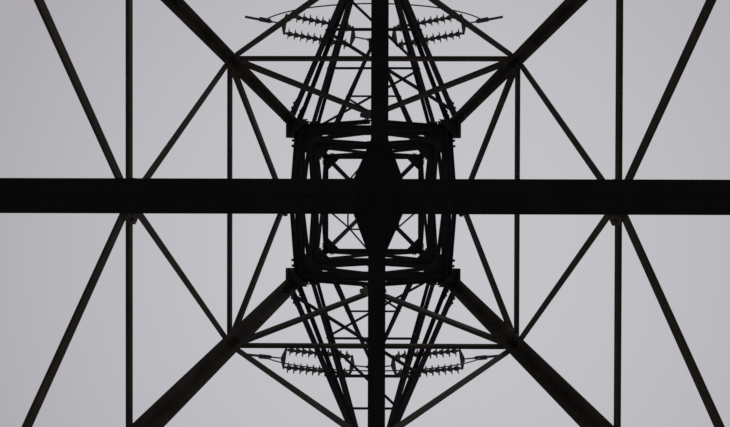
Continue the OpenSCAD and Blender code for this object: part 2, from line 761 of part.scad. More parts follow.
strings(upper_z, upper_reach);  // upper_strings
fittings(waist_z, lower_reach);  // lower_fittings
fittings(middle_z, middle_reach);  // middle_fittings
fittings(upper_z, upper_reach);  // upper_fittings
union() {
    jumper_loops(waist_z, lower_reach);
    jumper_loops(middle_z, middle_reach);
    jumper_loops(upper_z, upper_reach);
}
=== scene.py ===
"""Lattice transmission pylon: finishes, fasteners, insulator strings and stage round its frame."""

import math
from itertools import product

import bpy
import numpy as np
from bpy.props import FloatProperty, FloatVectorProperty, PointerProperty
from mathutils import Matrix, Vector


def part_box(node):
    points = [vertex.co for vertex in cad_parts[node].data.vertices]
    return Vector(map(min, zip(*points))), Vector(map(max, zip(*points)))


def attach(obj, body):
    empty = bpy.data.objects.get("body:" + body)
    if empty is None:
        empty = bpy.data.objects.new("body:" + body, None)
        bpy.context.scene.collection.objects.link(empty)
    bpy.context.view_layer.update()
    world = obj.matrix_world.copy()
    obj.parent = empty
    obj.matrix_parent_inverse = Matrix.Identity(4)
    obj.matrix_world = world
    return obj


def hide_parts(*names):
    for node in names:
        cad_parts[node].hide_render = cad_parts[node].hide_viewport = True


bl_info = {
    "name": "Lattice Transmission Pylon",
    "version": (1, 0, 0),
    "blender": (4, 5, 0),
    "location": "View3D > Sidebar > Pylon",
    "description": "Dresses the frame of a lattice pylon with paint, bolts and insulators",
    "category": "Object",
}

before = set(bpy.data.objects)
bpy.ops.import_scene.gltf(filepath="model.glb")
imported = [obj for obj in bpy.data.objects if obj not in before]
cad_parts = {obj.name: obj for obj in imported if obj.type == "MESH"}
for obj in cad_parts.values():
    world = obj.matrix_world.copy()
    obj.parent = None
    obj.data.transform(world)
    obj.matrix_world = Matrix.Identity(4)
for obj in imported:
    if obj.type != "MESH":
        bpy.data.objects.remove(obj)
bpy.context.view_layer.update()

# All measures are in millimetres, as in the pylon's solids, and turn to metres in the meshes
MM = 0.001

# From the axis to the corner bars' heels, at the ground, on the upright body and at the tip
BASE_HALF, BODY_HALF, PEAK_HALF = 3590, 1220, 95
# Heights of the battered body's three belts and of the waist, where the lower crossarms sit
BASE_BAY_Z, BELT_A_Z, BELT_B_Z, WAIST_Z = 6300, 8660, 11130, 13500
# Heights of the middle and the upper crossarms, the top belt, the posts' ends and the tip
MIDDLE_Z, UPPER_Z, TOP_Z, POST_TOP_Z, PEAK_Z = 16850, 20750, 21850, 21910, 27350
# Lower edges of the upright body's four lower belts; then the middle of the peak's belt, the
# underside of the head and the height of the head's side plates
BELT_1_Z, BELT_2_Z = WAIST_Z + 900, WAIST_Z + 1850
BELT_3_Z, BELT_4_Z = MIDDLE_Z + 900, MIDDLE_Z + 2000
PEAK_BELT_Z, HEAD_Z, HEAD_PLATE_H = TOP_Z + 2650, PEAK_Z - 126, 200
# Run inwards for each unit of rise on the battered body and on the peak, and both leans
BODY_RUN = (BASE_HALF - BODY_HALF) / WAIST_Z
PEAK_RUN = (BODY_HALF - PEAK_HALF) / (PEAK_Z - POST_TOP_Z)
BATTER, PEAK_BATTER = math.atan(BODY_RUN), math.atan(PEAK_RUN)

# Thicknesses, the clearance between bolted pieces, and how far parts of one piece overlap
BAR_T, PLATE_T, LEG_T, POST_T, PEAK_LEG_T, TIP_PLATE_T = 7, 8, 12, 9, 8, 16
GAP, BITE = 0.3, 0.6
# Flange widths of the angles
POST_W, TOP_BELT_W, HEAVY_BELT_W, LIGHT_BELT_W = 110, 110, 90, 70
ZIGZAG_W, BASE_BRACE_W, STUB_BRACE_W, PLAN_BELT_W, LACING_W = 63, 90, 56, 80, 45
# Bolts in a flange sit this far off its middle, away from the angle's other flange
GAUGE = BAR_T / 2

# Distance of faces outwards from the heels: bars and plates on the legs, backs of the gussets and
# of the base braces, both faces of the upright body's sides, and the crossarms' root plates
LEG_BAR_FACE, LEG_PLATE_FACE = BAR_T + GAP, PLATE_T + GAP
GUSSET_BACK, BASE_BRACE_BACK = GAP - PLATE_T + BITE, 2 * GAP + BITE
SIDE_BACK = -POST_T - GAP - BAR_T
SIDE_FACE = SIDE_BACK + BAR_T
ROOT_FACE = 2 * PLATE_T + GAP

# Feet: thickness and inset of the base plates, spacing of their holes, height of the shoes
FOOT_T, FOOT_INSET, ANCHOR_PITCH, SHOE_H = 30, 60, 320, 520
# Braces: inset of their feet from the legs' heels, how far their ends drop or rise from the
# belts and the waist, and how far they pass the middle at the throat
LEG_INSET, FORK_DROP, FORK_RISE, THROAT_LAP, THROAT_TRIM = 30, 80, 40, 60, 35
# Base braces: insets of their ends, and height of the joint with the short struts
TOE_INSET, KNEE_INSET, BASE_STRUT_Z = 100, 150, 3280
# Cross of the plan beam and bars, the slit between the beam's angles, the bars' sideways shift
CROSS, BEAM_GAP, BAR_SHIFT = (29, -20), 1, 7
# Upright body's sides: reach of the belts, the zigzags' points in the middle and at the posts,
# and how far those lie from the belts
SIDE_END = BODY_HALF - POST_T - 2 * GAP - BAR_T
APEX_X, NODE_X, NODE_DROP = 60, SIDE_END - 60, 40

# Crossarms: name, height, reach, places of the floor's struts, side where the lacing starts
TIERS = (
    ("lower", WAIST_Z, 4040, (2500,), 1),
    ("middle", MIDDLE_Z, 5300, (2500, 3800), -1),
    ("upper", UPPER_Z, 3800, (2500,), 1),
)
# Their trusses: distance from the middle at root and tip, depth at the root, start of the chords
# along them, rise of the top chord at the tip and height of the root plates
ROOT_X, TIP_X, ARM_H = BODY_HALF + PLATE_T + GAP, 24, 1100
CHORD_START, TIP_RISE, ROOT_PLATE_H = 60, 100, 200
# Distance of the floor's lacing from the strut behind it and from the one before it
LACE_AFTER, LACE_BEFORE = 130, 40

# Tension strings: pin, links, yokes and discs along the set, then the clamp with its palm
PIN_X, LINK_L, YOKE_DEPTH, STRING_GAP, DISC_COUNT, DISC_PITCH = 75, 410, 80, 400, 10, 146
OUTER_YOKE_X = LINK_L + 2 * YOKE_DEPTH + DISC_COUNT * DISC_PITCH
CLAMP_X = OUTER_YOKE_X + 260
PALM_START, PALM_L, PALM_DEPTH, LUG_T = 40, 260, 60, 14
PALM_MIDDLE = CLAMP_X + PALM_START + PALM_L / 2
LINE_TURN, STRING_DIP = math.radians(8), math.radians(12)
# Jumper loops: their seat below the set's axis, their drop and their diameter
JUMPER_SEAT, JUMPER_DROP, JUMPER_D = PALM_DEPTH + GAP + LUG_T / 2, 1500, 28

# The backdrop is brightest in this direction, and darkest from this cosine to it on
BRIGHTEST, EDGE_COSINE = Vector((0.047, 0.056, 1)), 0.87
# Light that the sky gives, which isn't what the camera sees
SKY_LIGHT = (0.95, 0.96, 1.0, 1)
# Camera: its place in metres, its focal length in pixels of a frame of this width, the lean of
# its sight line from straight up, and its turn about that line
CAMERA_PLACE = (0.001, 0.029, 1.65)
CAMERA_FOCAL_PX, CAMERA_FRAME_PX, SENSOR_MM = 822, 730, 36
CAMERA_LEAN = (-0.01, 0.0102)
CAMERA_ROLL = math.radians(-0.16)

# Sides in the order of their quarter turns, and the quarters of the right and left sides
SIDES, SIDEWAYS = ("front", "right", "back", "left"), (1, 3)
CORNERS = ("front_left", "front_right", "back_left", "back_right")


def nodes(kinds, places):
    """Names of the frame's nodes of some kinds at some places."""
    return [f"{kind}_{place}" for kind, place in product(kinds, places)]


LOWER_NODES = nodes(["leg", "foot"], CORNERS) + nodes(["base_bracing", "lower_side"], SIDES)
BEAM_NODES = ["plan_beam", "plan_bars", "centre_plates"]
UPPER_NODES = nodes(["post"], CORNERS) + nodes(["upper_side"], SIDES)
UPPER_NODES += nodes(["lower_arm", "middle_arm", "upper_arm"], ["front", "back"])
UPPER_NODES += nodes(["peak"], ["legs", "belt", "head"])
FITTING_NODES = nodes(["lower", "middle", "upper"], ["fittings"])


def linear(hex_colour):
    """Linear RGB of an sRGB hex colour."""
    channels = [int(hex_colour[i : i + 2], 16) / 255 for i in (1, 3, 5)]
    return [c / 12.92 if c <= 0.04045 else ((c + 0.055) / 1.055) ** 2.4 for c in channels]


def colour(name, hex_colour, description):
    """Colour property with an sRGB hex default."""
    return FloatVectorProperty(
        name=name,
        description=description,
        subtype="COLOR",
        size=3,
        min=0,
        max=1,
        default=linear(hex_colour),
    )


def length(name, default_mm, description):
    """Length property whose default is given in millimetres."""
    return FloatProperty(
        name=name, description=description, default=default_mm * MM, min=MM, unit="LENGTH"
    )


class PylonSizes(bpy.types.PropertyGroup):
    """Sizes of the fasteners and insulator parts"""

    brace_bolt: length("Brace bolt", 24, "Width across the flats of a brace bolt's head")
    splice_bolt: length("Splice bolt", 30, "Width across the flats of a splice bolt's head")
    anchor_nut: length("Anchor nut", 55, "Width across the flats of an anchor bolt's nut")
    anchor_rise: length("Anchor rise", 125, "Height of an anchor bolt above its base plate")
    shed_d: length("Disc", 254, "Diameter of an insulator disc")


class PylonColours(bpy.types.PropertyGroup):
    """Colours of the finishes and of the stage"""

    lower_paint: colour("Lower paint", "#181512", "Dark paint on the legs and lower bracing")
    faded_paint: colour("Faded paint", "#25201a", "The same paint where weather has chalked it")
    oxide: colour("Oxide", "#1e130d", "Rust brown that shows through in specks and runs")
    # The plan beams' three colours are the lower paint, its faded patches and its rust, darkened
    # throughout as painted shade on the beams' downward faces; the soot in their descriptions is
    # that painted shade
    beam_shaded_paint: colour("Beam paint", "#060506", "Sooty paint on the plan beams")
    beam_shaded_faded: colour("Beam faded", "#0d0a0b", "The plan beams' paint where rain has washed it")
    beam_shaded_oxide: colour("Rust on the beam", "#110b0b", "Rust under the soot of the plan beam")
    upper_paint: colour("Upper paint", "#0f1013", "Blue-black paint on the upper body and arms")
    upper_faded: colour("Upper faded", "#18171a", "The upper paint where weather has chalked it")
    zinc: colour("Dull zinc", "#101111", "Aged galvanising on bolts and string fittings")
    strand: colour("Conductor", "#1c1d1e", "Weathered aluminium strands of the jumper loops")
    glass: colour("Disc glass", "#0e1512", "Dark green toughened glass of the discs")
    dust: colour("Dust", "#3c403a", "Film of dust on the discs")
    floor: colour("Floor", "#d6d5d3", "Pale studio floor")
    sky: colour("Backdrop", "#c6c5ca", "Backdrop where it is brightest")
    sky_edge: colour("Backdrop edge", "#aeacb1", "Backdrop 30 degrees from there")


def props():
    """The scene's sizes and colours."""
    scene = bpy.context.scene
    return scene.pylon_sizes, scene.pylon_colours


# Places on the pylon


def half_at(z):
    """Heel distance from the axis on the battered body."""
    return BASE_HALF - BODY_RUN * z


def peak_half(z):
    """Heel distance from the axis on the peak."""
    return BODY_HALF - PEAK_RUN * (z - POST_TOP_Z)


def slope(z):
    """Way up the battered side to a height."""
    return z / math.cos(BATTER)


def peak_slope(z):
    """Way up the peak's side to a height."""
    return z / math.cos(PEAK_BATTER)


def leg_points(side, heights, insets, shift=0):
    """Points of a battered side, each at an inset from the leg's heel."""
    return [(side * (half_at(z) - x), slope(z) + shift) for z, x in product(heights, insets)]


def peak_points(side, heights, inset, shift=0):
    """Points of the peak's side, at an inset from its leg's heel."""
    return [(side * (peak_half(z) - inset), peak_slope(z) + shift) for z in heights]


def turned(quarter):
    """Rotation about the axis by quarter turns."""
    return Matrix.Rotation(quarter * math.pi / 2, 4, "Z")


def side_plane(quarter, half, lean):
    """Plane of one side: x across, y up the side, z outwards."""
    return (
        turned(quarter)
        @ Matrix.Translation((0, -half, 0))
        @ Matrix.Rotation(math.pi / 2 - lean, 4, "X")
    )


def lower_plane(quarter):
    """Plane through the heels on one side of the battered body."""
    return side_plane(quarter, BASE_HALF, BATTER)


def upper_plane(quarter):
    """Plane through the heels on one side of the upright body."""
    return side_plane(quarter, BODY_HALF, 0)


def peak_plane(quarter):
    """Plane through the heels on one side of the peak."""
    return side_plane(quarter, peak_half(0), PEAK_BATTER)


def corner_plane(quarter, z):
    """Level plane whose origin is the inner corner of a post."""
    heel = BODY_HALF - POST_T - GAP
    return turned(quarter) @ Matrix.Translation((-heel, -heel, z))


def along(start, end, steps, shift=0):
    """Points at the given steps from start towards end, moved sideways to the bolt gauge."""
    way = (Vector(end) - Vector(start)).normalized()
    across = Vector((-way.y, way.x))
    return [Vector(start) + way * step + across * shift for step in steps]


def arm_x(reach, y):
    """Distance of an arm's truss from the middle plane, at y outwards from the axis."""
    return ROOT_X + (TIP_X - ROOT_X) * (y - BODY_HALF) / (reach - BODY_HALF)


def set_plane(z, y, side):
    """Level frame of a string set: x along the set, from the pin in the tip plate."""
    turn = -LINE_TURN if side > 0 else math.pi + LINE_TURN
    pin = Matrix.Translation((side * PIN_X, y, z - GAP - TIP_PLATE_T / 2))
    return pin @ Matrix.Rotation(turn, 4, "Z")


def dipped_plane(z, y, side):
    """The same frame with the set's dip, as its links, yokes and strings hang."""
    return set_plane(z, y, side) @ Matrix.Rotation(STRING_DIP, 4, "Y")


# Turned and stamped meshes


def lathe(profile, sides):
    """Closed turned form of (radius, height) points that start and end on the axis."""
    verts, rings, faces = [], [], []
    for radius, height in profile:
        rings.append((len(verts), radius > 0))
        count = sides if radius > 0 else 1
        for i in range(count):
            a = 2 * math.pi * i / sides
            verts.append((radius * math.cos(a), radius * math.sin(a), height))
    for (low, low_ring), (high, high_ring) in zip(rings, rings[1:]):
        for i in range(sides):
            j = (i + 1) % sides
            if low_ring and high_ring:
                faces.append((low + i, low + j, high + j, high + i))
            elif high_ring:
                faces.append((low, high + j, high + i))
            elif low_ring:
                faces.append((low + i, low + j, high))
    return np.array(verts, float), faces


def disc(radius, low, high):
    """Profile of a washer or another plain disc."""
    return [(0, low), (radius, low), (radius, high), (0, high)]


def chamfered(radius, rim, low, shoulder, high):
    """Profile of a nut, a head or a shank, chamfered from its shoulder to the rim of its top."""
    return [(0, low), (radius, low), (radius, shoulder), (rim, high), (0, high)]


def rectangle(x0, y0, x1, y1):
    """Outline between two opposite corners."""
    return [(x0, y0), (x1, y0), (x1, y1), (x0, y1)]


def prism(outline, low, high):
    """Upright prism on a counter-clockwise outline."""
    n = len(outline)
    verts = [(x, y, low) for x, y in outline] + [(x, y, high) for x, y in outline]
    faces = [(i, (i + 1) % n, n + (i + 1) % n, n + i) for i in range(n)]
    faces += [tuple(reversed(range(n))), tuple(range(n, 2 * n))]
    return np.array(verts, float), faces


def joined(forms):
    """Several forms as one."""
    verts, faces, start = [], [], 0
    for form_verts, form_faces in forms:
        verts.append(form_verts)
        faces += [tuple(start + i for i in face) for face in form_faces]
        start += len(form_verts)
    return np.concatenate(verts), faces


def stamp(parts, form, place):
    """Adds a copy of a form at a place, both in millimetres."""
    verts, faces = form
    turn = np.array(place.to_3x3())
    parts.append((verts @ turn.T + np.array(place.translation), faces))


def put(name, data):
    """New object in the scene."""
    made = bpy.data.objects.new(name, data)
    bpy.context.scene.collection.objects.link(made)
    return made


def piece(name, parts, material, smooth=0):
    """One mesh object of many stamped parts, riding on the pylon, smooth up to some degrees."""
    if not parts:
        raise RuntimeError(f"{name} has no parts")
    verts, faces = joined(parts)
    mesh = bpy.data.meshes.new(name)
    mesh.from_pydata((verts * MM).tolist(), [], faces)
    if smooth:
        mesh.polygons.foreach_set("use_smooth", [True] * len(mesh.polygons))
        mesh.set_sharp_from_angle(angle=math.radians(smooth))
    mesh.update()
    made = put(name, mesh)
    mesh.materials.append(material)
    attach(made, "root")
    return made


FORMS = {}


def bolt_form(across, grip):
    """Hexagon bolt with washers and nut; its head's washer lies on z = 0, its nut's at -grip."""
    key = (round(across, 2), round(grip, 2))
    if key not in FORMS:
        # Proportions of a structural bolt, by its head's width across the flats and corners
        corner = across / math.sqrt(3)
        washer, head, nut, tail = across * 0.13, across * 0.54, across * 0.68, 9
        washer_r, rim, shank = corner * 1.12, corner * 0.84, corner * 0.58
        under, end = -grip - washer, -grip - washer - nut
        # A profile read backwards points downwards
        head_form = chamfered(corner, rim, washer, washer + head * 0.8, washer + head)
        nut_form = chamfered(corner, rim, under, under - nut * 0.85, end)[::-1]
        tail_form = chamfered(shank, corner * 0.5, end, end - tail + 2, end - tail)[::-1]
        FORMS[key] = joined([
            lathe(disc(washer_r, 0, washer), 12), lathe(head_form, 6),
            lathe(disc(washer_r, under, -grip), 12), lathe(nut_form, 6), lathe(tail_form, 8),
        ])
    return FORMS[key]


def bolt(parts, plane, x, y, out, into, across):
    """Bolt through a plane at x, y, from its head at out to its nut at into, spun by its place."""
    spin = Matrix.Rotation((x * 0.37 + y * 0.11) % 1.0, 4, "Z")
    stamp(parts, bolt_form(across, out - into), plane @ Matrix.Translation((x, y, out)) @ spin)


def bolts(parts, plane, points, out, into, across):
    """Bolts at several points of a plane."""
    for x, y in points:
        bolt(parts, plane, x, y, out, into, across)


def brace_bolts(parts, plane, side, across, *ends):
    """Bolts at both ends of a brace. Each end has its point, its bolts' steps, face and back."""
    for (point, steps, out, into), other, gauge in zip(ends, ends[::-1], (GAUGE, -GAUGE)):
        bolts(parts, plane, along(point, other[0], steps, gauge * side), out, into, across)


def basis(point, x, y, z):
    """Place at a point with the given axes."""
    return Matrix.Translation(point) @ Matrix((x, y, z)).transposed().to_4x4()


def facing(point, outward, up=(0, 0, 1)):
    """Plane at a point with z outwards and y up."""
    z = Vector(outward).normalized()
    x = Vector(up).cross(z).normalized()
    return basis(point, x, z.cross(x), z)


def angle_bar(parts, start, end, outward, size, trims, hand):
    """Angle between two points, its flat flange's inner face on them. Its other flange stands
    outwards on the side that hand gives, trimmed at both ends."""
    run = Vector(end) - Vector(start)
    x = run.normalized()
    z = (Vector(outward) - x * x.dot(outward)).normalized()
    place = basis(start, x, z.cross(x), z)
    (width, thick), half = size, size[0] / 2
    near, far = sorted((hand * half, hand * (half - thick)))
    flat = rectangle(0, -half, run.length, half)
    upright = rectangle(trims[0], near, run.length - trims[1], far)
    stamp(parts, prism(flat, 0, thick), place)
    stamp(parts, prism(upright, thick, width), place)


# Materials


def add(tree, kind, settings=None, **inputs):
    """Adds a node with its settings, and sets or links its inputs, each by its name or, after
    an underscore, by its number."""
    made = tree.nodes.new(kind)
    for key, value in (settings or {}).items():
        setattr(made, key, value)
    for key, value in inputs.items():
        socket = made.inputs[int(key[1:]) if key[1:].isdigit() else key.replace("_", " ")]
        if isinstance(value, bpy.types.NodeSocket):
            tree.links.new(value, socket)
        else:
            socket.default_value = value
    return made


def blank(name):
    """New material with only a surface shader, its output and the object's coordinates."""
    material = bpy.data.materials.new(name)
    material.use_nodes = True
    tree = material.node_tree
    tree.nodes.clear()
    shader = add(tree, "ShaderNodeBsdfPrincipled")
    add(tree, "ShaderNodeOutputMaterial", Surface=shader.outputs[0])
    return material, tree, shader, add(tree, "ShaderNodeTexCoord").outputs["Object"]


def per_mm(size):
    """Texture scale for a feature of a size in millimetres."""
    return 1 / (size * MM)


def rgba(value):
    """Opaque colour of three channels."""
    return (*value, 1)


def weathered_paint(name, fresh, faded, oxide):
    """Brush-painted structural steel: it shows chalked patches, runs and rust specks, dull."""
    material, tree, shader, place = blank(name)
    stretched = add(tree, "ShaderNodeMapping", Vector=place, Scale=(1, 1, 0.08)).outputs[0]
    # Chalked patches about 350 mm across
    patches = add(
        tree, "ShaderNodeTexNoise", Vector=place, Scale=per_mm(350), Detail=4.0, Roughness=0.6
    ).outputs[0]
    patch_mask = add(tree, "ShaderNodeMapRange", Value=patches, From_Min=0.4, From_Max=0.66)
    # Rain runs 40 mm apart, drawn out downwards
    runs = add(
        tree, "ShaderNodeTexNoise", Vector=stretched, Scale=per_mm(40), Detail=3.0, Roughness=0.55
    ).outputs[0]
    run_mask = add(tree, "ShaderNodeMapRange", Value=runs, From_Min=0.52, From_Max=0.72)
    # Rust specks, really about 3 mm, drawn at 14 mm so that they show
    specks = add(
        tree, "ShaderNodeTexNoise", Vector=place, Scale=per_mm(14), Detail=6.0, Roughness=0.7
    ).outputs[0]
    speck_mask = add(tree, "ShaderNodeMapRange", Value=specks, From_Min=0.58, From_Max=0.7)
    paint = add(
        tree, "ShaderNodeMix", {"data_type": "RGBA"}, Factor=patch_mask.outputs[0],
        _6=rgba(fresh), _7=rgba(faded),
    ).outputs[2]
    streak = add(
        tree, "ShaderNodeMath", {"operation": "MULTIPLY"}, _0=run_mask.outputs[0], _1=0.45
    )
    run_paint = add(
        tree, "ShaderNodeMix", {"data_type": "RGBA"}, Factor=streak.outputs[0],
        _6=paint, _7=rgba(oxide),
    ).outputs[2]
    final = add(
        tree, "ShaderNodeMix", {"data_type": "RGBA"}, Factor=speck_mask.outputs[0],
        _6=run_paint, _7=rgba(oxide),
    ).outputs[2]
    tree.links.new(final, shader.inputs["Base Color"])
    # Chalked paint scatters more than the fresh
    rough = add(
        tree, "ShaderNodeMapRange", Value=patches, From_Min=0.3, From_Max=0.7, To_Min=0.6,
        To_Max=0.88,
    )
    tree.links.new(rough.outputs[0], shader.inputs["Roughness"])
    shader.inputs["Specular IOR Level"].default_value = 0.05
    # Brushed paint over mill scale, ridges about 6 mm apart
    grain = add(
        tree, "ShaderNodeTexNoise", Vector=place, Scale=per_mm(6), Detail=3.0, Roughness=0.6
    ).outputs[0]
    relief = add(tree, "ShaderNodeBump", Height=grain, Strength=0.35, Distance=0.0008)
    tree.links.new(relief.outputs[0], shader.inputs["Normal"])
    return material


def aged_zinc(name, zinc, oxide):
    """Hot-dip galvanised steel, aged: dull grey spangle with brown where the zinc has gone."""
    material, tree, shader, place = blank(name)
    # Zinc spangle about 9 mm across
    spangle = add(tree, "ShaderNodeTexVoronoi", Vector=place, Scale=per_mm(9)).outputs["Distance"]
    # Brown stains about 60 mm across
    stain = add(
        tree, "ShaderNodeTexNoise", Vector=place, Scale=per_mm(60), Detail=4.0, Roughness=0.65
    ).outputs[0]
    shade = add(
        tree, "ShaderNodeMapRange", Value=spangle, From_Min=0.0, From_Max=0.8, To_Min=0.75,
        To_Max=1.2,
    ).outputs[0]
    tone = add(
        tree, "ShaderNodeMix", {"data_type": "RGBA", "blend_type": "MULTIPLY"}, Factor=1.0,
        _6=rgba(zinc), _7=shade,
    ).outputs[2]
    stain_mask = add(tree, "ShaderNodeMapRange", Value=stain, From_Min=0.5, From_Max=0.7)
    final = add(
        tree, "ShaderNodeMix", {"data_type": "RGBA"}, Factor=stain_mask.outputs[0],
        _6=tone, _7=rgba(oxide),
    ).outputs[2]
    tree.links.new(final, shader.inputs["Base Color"])
    rough = add(
        tree, "ShaderNodeMapRange", Value=stain, From_Min=0.3, From_Max=0.7, To_Min=0.42,
        To_Max=0.7,
    )
    tree.links.new(rough.outputs[0], shader.inputs["Roughness"])
    shader.inputs["Metallic"].default_value = 0.4
    relief = add(tree, "ShaderNodeBump", Height=spangle, Strength=0.2, Distance=0.0005)
    tree.links.new(relief.outputs[0], shader.inputs["Normal"])
    return material


def toughened_glass(name, glass, dust):
    """Pressed and toughened glass in a dark green: glossy, with dust that dulls it in patches."""
    material, tree, shader, place = blank(name)
    # Dust film in patches about 45 mm across
    patches = add(
        tree, "ShaderNodeTexNoise", Vector=place, Scale=per_mm(45), Detail=4.0, Roughness=0.6
    ).outputs[0]
    film = add(
        tree, "ShaderNodeMapRange", Value=patches, From_Min=0.4, From_Max=0.75, To_Min=0.0,
        To_Max=0.5,
    ).outputs[0]
    final = add(
        tree, "ShaderNodeMix", {"data_type": "RGBA"}, Factor=film, _6=rgba(glass), _7=rgba(dust)
    ).outputs[2]
    tree.links.new(final, shader.inputs["Base Color"])
    rough = add(
        tree, "ShaderNodeMapRange", Value=patches, From_Min=0.35, From_Max=0.75, To_Min=0.35,
        To_Max=0.6,
    )
    tree.links.new(rough.outputs[0], shader.inputs["Roughness"])
    shader.inputs["IOR"].default_value = 1.52
    shader.inputs["Specular IOR Level"].default_value = 0.25
    return material


def stranded_aluminium(name, strand):
    """Twisted aluminium strands, blackened by weather, with painted shade in the grooves and a
    dull low sheen.
    """
    material, tree, shader, place = blank(name)
    # Strands of about 4 mm, too fine to show from the ground, so the twist is drawn as bands
    # 150 mm apart, which is 0.63 of the size that the scale is given
    twist = add(
        tree, "ShaderNodeTexWave", {"bands_direction": "DIAGONAL"}, Vector=place,
        Scale=per_mm(240), Distortion=0.4,
    ).outputs[1]
    # The bands' darker half, at four tenths of the strand colour, is painted shade in the grooves
    # between strands
    final = add(
        tree, "ShaderNodeMix", {"data_type": "RGBA"}, Factor=twist,
        _6=rgba([0.4 * c for c in strand]), _7=rgba(strand),
    ).outputs[2]
    tree.links.new(final, shader.inputs["Base Color"])
    shader.inputs["Metallic"].default_value = 0.6
    shader.inputs["Roughness"].default_value = 0.6
    relief = add(tree, "ShaderNodeBump", Height=twist, Strength=0.5, Distance=0.001)
    tree.links.new(relief.outputs[0], shader.inputs["Normal"])
    return material


def studio_floor(name, floor):
    """Troweled pale concrete: even and matt, with a faint cloud of tone."""
    material, tree, shader, place = blank(name)
    # Trowel clouds about 1.5 m across
    cloud = add(
        tree, "ShaderNodeTexNoise", Vector=place, Scale=per_mm(1500), Detail=3.0, Roughness=0.5
    ).outputs[0]
    shade = add(
        tree, "ShaderNodeMapRange", Value=cloud, From_Min=0.3, From_Max=0.7, To_Min=0.97,
        To_Max=1.02,
    ).outputs[0]
    final = add(
        tree, "ShaderNodeMix", {"data_type": "RGBA", "blend_type": "MULTIPLY"}, Factor=1.0,
        _6=rgba(floor), _7=shade,
    ).outputs[2]
    tree.links.new(final, shader.inputs["Base Color"])
    shader.inputs["Roughness"].default_value = 0.9
    return material


LOWER_COLOURS = ("lower_paint", "faded_paint", "oxide")
# Darker copies of the lower colours, which paint shade onto the plan beams
BEAM_SHADED_COLOURS = ("beam_shaded_paint", "beam_shaded_faded", "beam_shaded_oxide")
UPPER_COLOURS = ("upper_paint", "upper_faded", "oxide")
# Each finish: what makes it, its name and its colours
FINISHES = {
    "lower": (weathered_paint, "weathered_brown_black_paint", LOWER_COLOURS),
    # The beam finish is the same weathered paint, darkened as painted shade on the plan beams
    "beam": (weathered_paint, "black_paint_with_painted_shade", BEAM_SHADED_COLOURS),
    "upper": (weathered_paint, "weathered_blue_black_paint", UPPER_COLOURS),
    "zinc": (aged_zinc, "aged_galvanised_steel", ("zinc", "oxide")),
    "glass": (toughened_glass, "toughened_green_glass", ("glass", "dust")),
    "strand": (stranded_aluminium, "weathered_stranded_aluminium", ("strand",)),
    "floor": (studio_floor, "pale_troweled_concrete", ("floor",)),
}
MATERIALS = {}


def finish(kind):
    """The named finish, made when it is first asked for."""
    if kind not in MATERIALS:
        maker, name, keys = FINISHES[kind]
        _, colours = props()
        MATERIALS[kind] = maker(name, *(getattr(colours, key) for key in keys))
    return MATERIALS[kind]


def refinish(names, kind):
    """Puts a finish on carried-over pieces of the frame."""
    for name in names:
        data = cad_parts[name].data
        data.materials.clear()
        data.materials.append(finish(kind))


# Operators


class PYLON_OT_steelwork(bpy.types.Operator):
    """Paint the legs, bracing, body, arms and peak, and galvanise the string fittings"""

    bl_idname = "pylon.steelwork"
    bl_label = "Finish steelwork"

    def execute(self, context):
        refinish(LOWER_NODES, "lower")
        # The plan beams take the lower paint darkened as painted shade
        refinish(BEAM_NODES, "beam")
        refinish(UPPER_NODES, "upper")
        refinish(FITTING_NODES, "zinc")
        return {"FINISHED"}


class PYLON_OT_feet(bpy.types.Operator):
    """Fit the anchor bolts of the four feet and the bolts of their shoe plates"""

    bl_idname = "pylon.feet"
    bl_label = "Fit feet"

    def execute(self, context):
        sizes, _ = props()
        forms = self.anchor_forms(sizes.anchor_nut / MM, sizes.anchor_rise / MM)
        anchors, shoes = [], []
        centre, half_pitch = BASE_HALF - FOOT_INSET, ANCHOR_PITCH / 2
        for sx, sy, i, j in product((-1, 1), repeat=4):
            dx, dy = i * half_pitch, j * half_pitch
            spot = Matrix.Translation((sx * centre + dx, sy * centre + dy, 0))
            for k, form in enumerate(forms):
                # Every nut stands at its own angle
                stamp(anchors, form, spot @ Matrix.Rotation(0.3 * k + dx, 4, "Z"))
        for quarter in range(4):
            for side in (-1, 1):
                points = leg_points(side, (150, 260, 370, 470), (38, 80))
                bolts(
                    shoes, lower_plane(quarter), points, LEG_PLATE_FACE, -LEG_T,
                    sizes.splice_bolt / MM,
                )
        piece("anchor_bolts", anchors, finish("zinc"))
        piece("shoe_bolts", shoes, finish("lower"))
        return {"FINISHED"}

    def anchor_forms(self, across, rise):
        """Anchor bolt from the ground up, its washer, its nut and the thinner lock nut on it."""
        corner, shank, chamfer = across / math.sqrt(3), 18, 4
        rim, end = corner * 0.86, FOOT_T + rise
        washer, nut, lock, lock_end = (FOOT_T + h for h in (6, 40, 41, 66))
        return [
            lathe(chamfered(shank, 15, 0, end - chamfer, end), 20),
            lathe(disc(corner * 1.25, FOOT_T, washer), 24),
            lathe(chamfered(corner, rim, washer, nut - chamfer, nut), 6),
            lathe(chamfered(corner, rim, lock, lock_end - chamfer, lock_end), 6),
        ]


